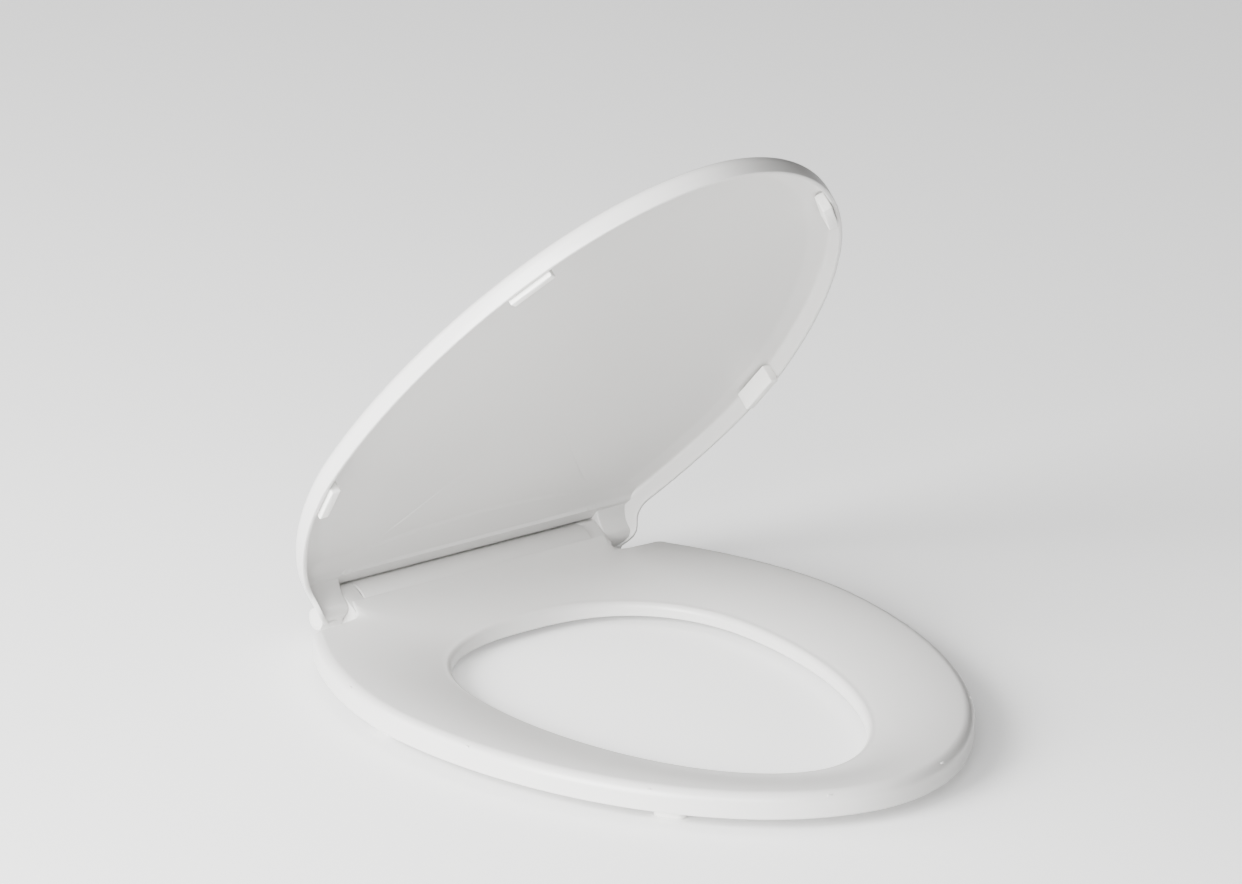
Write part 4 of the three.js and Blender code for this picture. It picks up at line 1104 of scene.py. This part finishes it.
class SEAT_OT_feet(bpy.types.Operator):
    """Makes the four elastomer feet that carry the seat on the bowl"""

    bl_idname = "toilet_seat.feet"
    bl_label = "Seat feet"

    def execute(self, context):
        scene = context.scene
        sizes = scene.bumper_sizes
        outline = stadium(sizes.foot_length / 2, sizes.foot_width / 2)
        top = scene.seat_sizes.bottom - BUMPER_GAP
        for name, at in bumper_angles(sizes).items():
            middle, turn = bumper_place(scene.seat_sizes, at, sizes.foot_inset)
            foot = turned_prism(f"seat_foot_{name}", outline, -AXIS.z, top, FOOT_ROUND, middle, turn)
            place(foot)
            finish_piece(foot, f"seat_bumper_{name}", "seat", "white_rubber")
        return {"FINISHED"}


class SEAT_OT_strips(bpy.types.Operator):
    """Makes the four elastomer strips that keep the lid off the seat"""

    bl_idname = "toilet_seat.strips"
    bl_label = "Lid strips"

    def execute(self, context):
        scene = context.scene
        sizes = scene.bumper_sizes
        lid = scene.lid_sizes
        bottom = scene.seat_sizes.top + BUMPER_GAP
        top = lid.rim + lid.depth - lid.floor - lid.ledge_step - MM
        half, thick = sizes.strip_length / 2, sizes.strip_width / 2
        outline = [(half, -thick), (half, thick), (-half, thick), (-half, -thick)]
        outline = soften(outline, STRIP_CORNER)
        inset = lid.wall + thick + STRIP_ROUND
        for name, at in bumper_angles(sizes).items():
            middle, turn = bumper_place(lid, at, inset)
            strip = turned_prism(f"lid_strip_{name}", outline, bottom, top, STRIP_ROUND, middle, turn)
            place(strip, -lid.open_angle)
            finish_piece(strip, f"lid_bumper_{name}", "lid", "white_rubber")
        return {"FINISHED"}


def soften(outline, radius, count=4):
    """A polygon with each corner rounded by that radius."""
    corners = [np.array(p) for p in outline]
    soft = []
    for i, corner in enumerate(corners):
        back = corners[i - 1] - corner
        ahead = corners[(i + 1) % len(corners)] - corner
        back, ahead = back / np.linalg.norm(back), ahead / np.linalg.norm(ahead)
        start, end = corner + back * radius, corner + ahead * radius
        for t in np.linspace(0, 1, count + 1):
            soft.append(tuple((1 - t) ** 2 * start + 2 * t * (1 - t) * corner + t * t * end))
    return soft


CARRIED_OVER = {
    "base_plastic": ["hinge_base"],
    "damper_plastic": ["lid_damper_body", "lid_damper_cap", "seat_damper_body",
                       "seat_damper_cap"],
    "acetal": ["lug_bearing_left", "ear_bearing_right", "release_latch_left",
               "release_latch_right"],
    "dark_rubber": ["lid_damper_seal", "seat_damper_seal", "socket_bush_left",
                    "socket_bush_right", "grip_pad_left", "grip_pad_right"],
    "steel": ["cover_screw_left", "cover_screw_right", "lid_damper_shaft",
              "seat_damper_shaft"],
    "white_gloss": ["ear_cap_left", "ear_cap_right"],
}


class SEAT_OT_hinge_parts(bpy.types.Operator):
    """Gives the base, dampers, shafts, latches, pads and caps their finishes"""

    bl_idname = "toilet_seat.hinge_parts"
    bl_label = "Hinge parts"

    def execute(self, context):
        for slot, names in CARRIED_OVER.items():
            for name in names:
                mesh = frame["nodes"][name].data
                give_finish(mesh, slot)
                mesh.set_sharp_from_angle(angle=FRAME_SHARP_TURN)
        return {"FINISHED"}


# ---------- Studio ----------


# What each light's power is called among the sizes, how wide it is and where it stands.
LIGHTS = {
    "key at the left": ("key_power", 1.8, (-2.6, -0.4, 1.1)),
    "behind at the left": ("back_power", 1.6, (-2.0, 1.8, 1.4)),
    "overhead": ("top_power", 2.2, (0.0, -0.3, 2.6)),
    "in front": ("front_power", 1.4, (-2.0, -2.2, 1.6)),
}
LIGHT_TARGET = (0, -0.15, 0.1)
CAMERA_TARGET = (0, -0.1428, 0.1620)
SENSOR_WIDTH = 36.0
CAMERA_RANGE = 50.0
FLOOR_SIDE, FLOOR_CELLS = 14.0, 8


def area_light(name, power, size, location):
    light = bpy.data.lights.new(name, "AREA")
    light.size = size
    light.energy = power
    holder = bpy.data.objects.new(name, light)
    bpy.context.scene.collection.objects.link(holder)
    holder.location = location
    towards = Vector(location) - Vector(LIGHT_TARGET)
    holder.rotation_euler = towards.to_track_quat("Z", "Y").to_euler()


def studio_floor(finishes, glow):
    line = np.linspace(-FLOOR_SIDE / 2, FLOOR_SIDE / 2, FLOOR_CELLS + 1)
    points = [(x, y, 0.0) for y in line for x in line]
    faces = []
    for row in range(FLOOR_CELLS):
        for column in range(FLOOR_CELLS):
            a = row * (FLOOR_CELLS + 1) + column
            faces.append((a, a + 1, a + FLOOR_CELLS + 2, a + FLOOR_CELLS + 1))
    floor = mesh_object("studio_floor", points, faces)
    tint = tuple(finishes.floor)
    # Matt painted board lit from inside: even and pale, with a faint 0.2 m change of tone.
    material, tree, shader, where = new_material(
        "painted_board", tint, {"Roughness": 0.9, "Emission Color": (1, 1, 1, 1),
                                "Emission Strength": glow})
    tone = noise(tree, where, 0.2, 2.0)
    tree.links.new(tinted(tree, tone, shade_of(tint, 0.99), tint), shader.inputs["Base Color"])
    floor.data.materials.append(material)


class SEAT_OT_stage(bpy.types.Operator):
    """Makes the floor, the lights and the camera"""

    bl_idname = "toilet_seat.stage"
    bl_label = "Studio"

    def execute(self, context):
        scene = context.scene
        stage = scene.stage_sizes
        studio_floor(scene.seat_finishes, stage.floor_glow)
        world = bpy.data.worlds.new("even surround")
        world.use_nodes = True
        background = world.node_tree.nodes["Background"]
        background.inputs["Color"].default_value = (1, 1, 1, 1)
        background.inputs["Strength"].default_value = stage.world_strength
        scene.world = world
        for name, (power, size, location) in LIGHTS.items():
            area_light(name, getattr(stage, power), size, location)
        camera = bpy.data.cameras.new("camera")
        camera.lens = stage.lens
        camera.sensor_width = SENSOR_WIDTH
        camera.clip_end = CAMERA_RANGE
        holder = bpy.data.objects.new("camera", camera)
        scene.collection.objects.link(holder)
        yaw, pitch = stage.camera_yaw, stage.camera_pitch
        back = Vector((math.sin(yaw) * math.cos(pitch), -math.cos(yaw) * math.cos(pitch),
                       math.sin(pitch)))
        holder.location = Vector(CAMERA_TARGET) + back * stage.camera_distance
        holder.rotation_euler = back.to_track_quat("Z", "Y").to_euler()
        scene.camera = holder
        return {"FINISHED"}


# ---------- Add-on ----------


class SEAT_PT_panel(bpy.types.Panel):
    bl_label = "Toilet seat"
    bl_idname = "SEAT_PT_panel"
    bl_space_type = "VIEW_3D"
    bl_region_type = "UI"
    bl_category = "Toilet seat"

    def draw(self, context):
        column = self.layout.column()
        for step in STEPS:
            column.operator(step.bl_idname)


STEPS = (SEAT_OT_ring, SEAT_OT_lid, SEAT_OT_barrel, SEAT_OT_feet, SEAT_OT_strips,
         SEAT_OT_hinge_parts, SEAT_OT_stage)
GROUPS = {"seat_sizes": SeatSizes, "lid_sizes": LidSizes, "hinge_sizes": HingeSizes,
          "bumper_sizes": BumperSizes, "seat_finishes": Finishes, "stage_sizes": StageSizes}


def register():
    for group in GROUPS.values():
        bpy.utils.register_class(group)
    for step in STEPS:
        bpy.utils.register_class(step)
    bpy.utils.register_class(SEAT_PT_panel)
    for name, group in GROUPS.items():
        setattr(bpy.types.Scene, name, PointerProperty(type=group))


def unregister():
    for name in GROUPS:
        delattr(bpy.types.Scene, name)
    bpy.utils.unregister_class(SEAT_PT_panel)
    for step in reversed(STEPS):
        bpy.utils.unregister_class(step)
    for group in reversed(list(GROUPS.values())):
        bpy.utils.unregister_class(group)


def main():
    register()
    bpy.ops.toilet_seat.ring()
    bpy.ops.toilet_seat.lid()
    bpy.ops.toilet_seat.barrel()
    bpy.ops.toilet_seat.feet()
    bpy.ops.toilet_seat.strips()
    bpy.ops.toilet_seat.hinge_parts()
    bpy.ops.toilet_seat.stage()


if __name__ == "__main__":
    main()
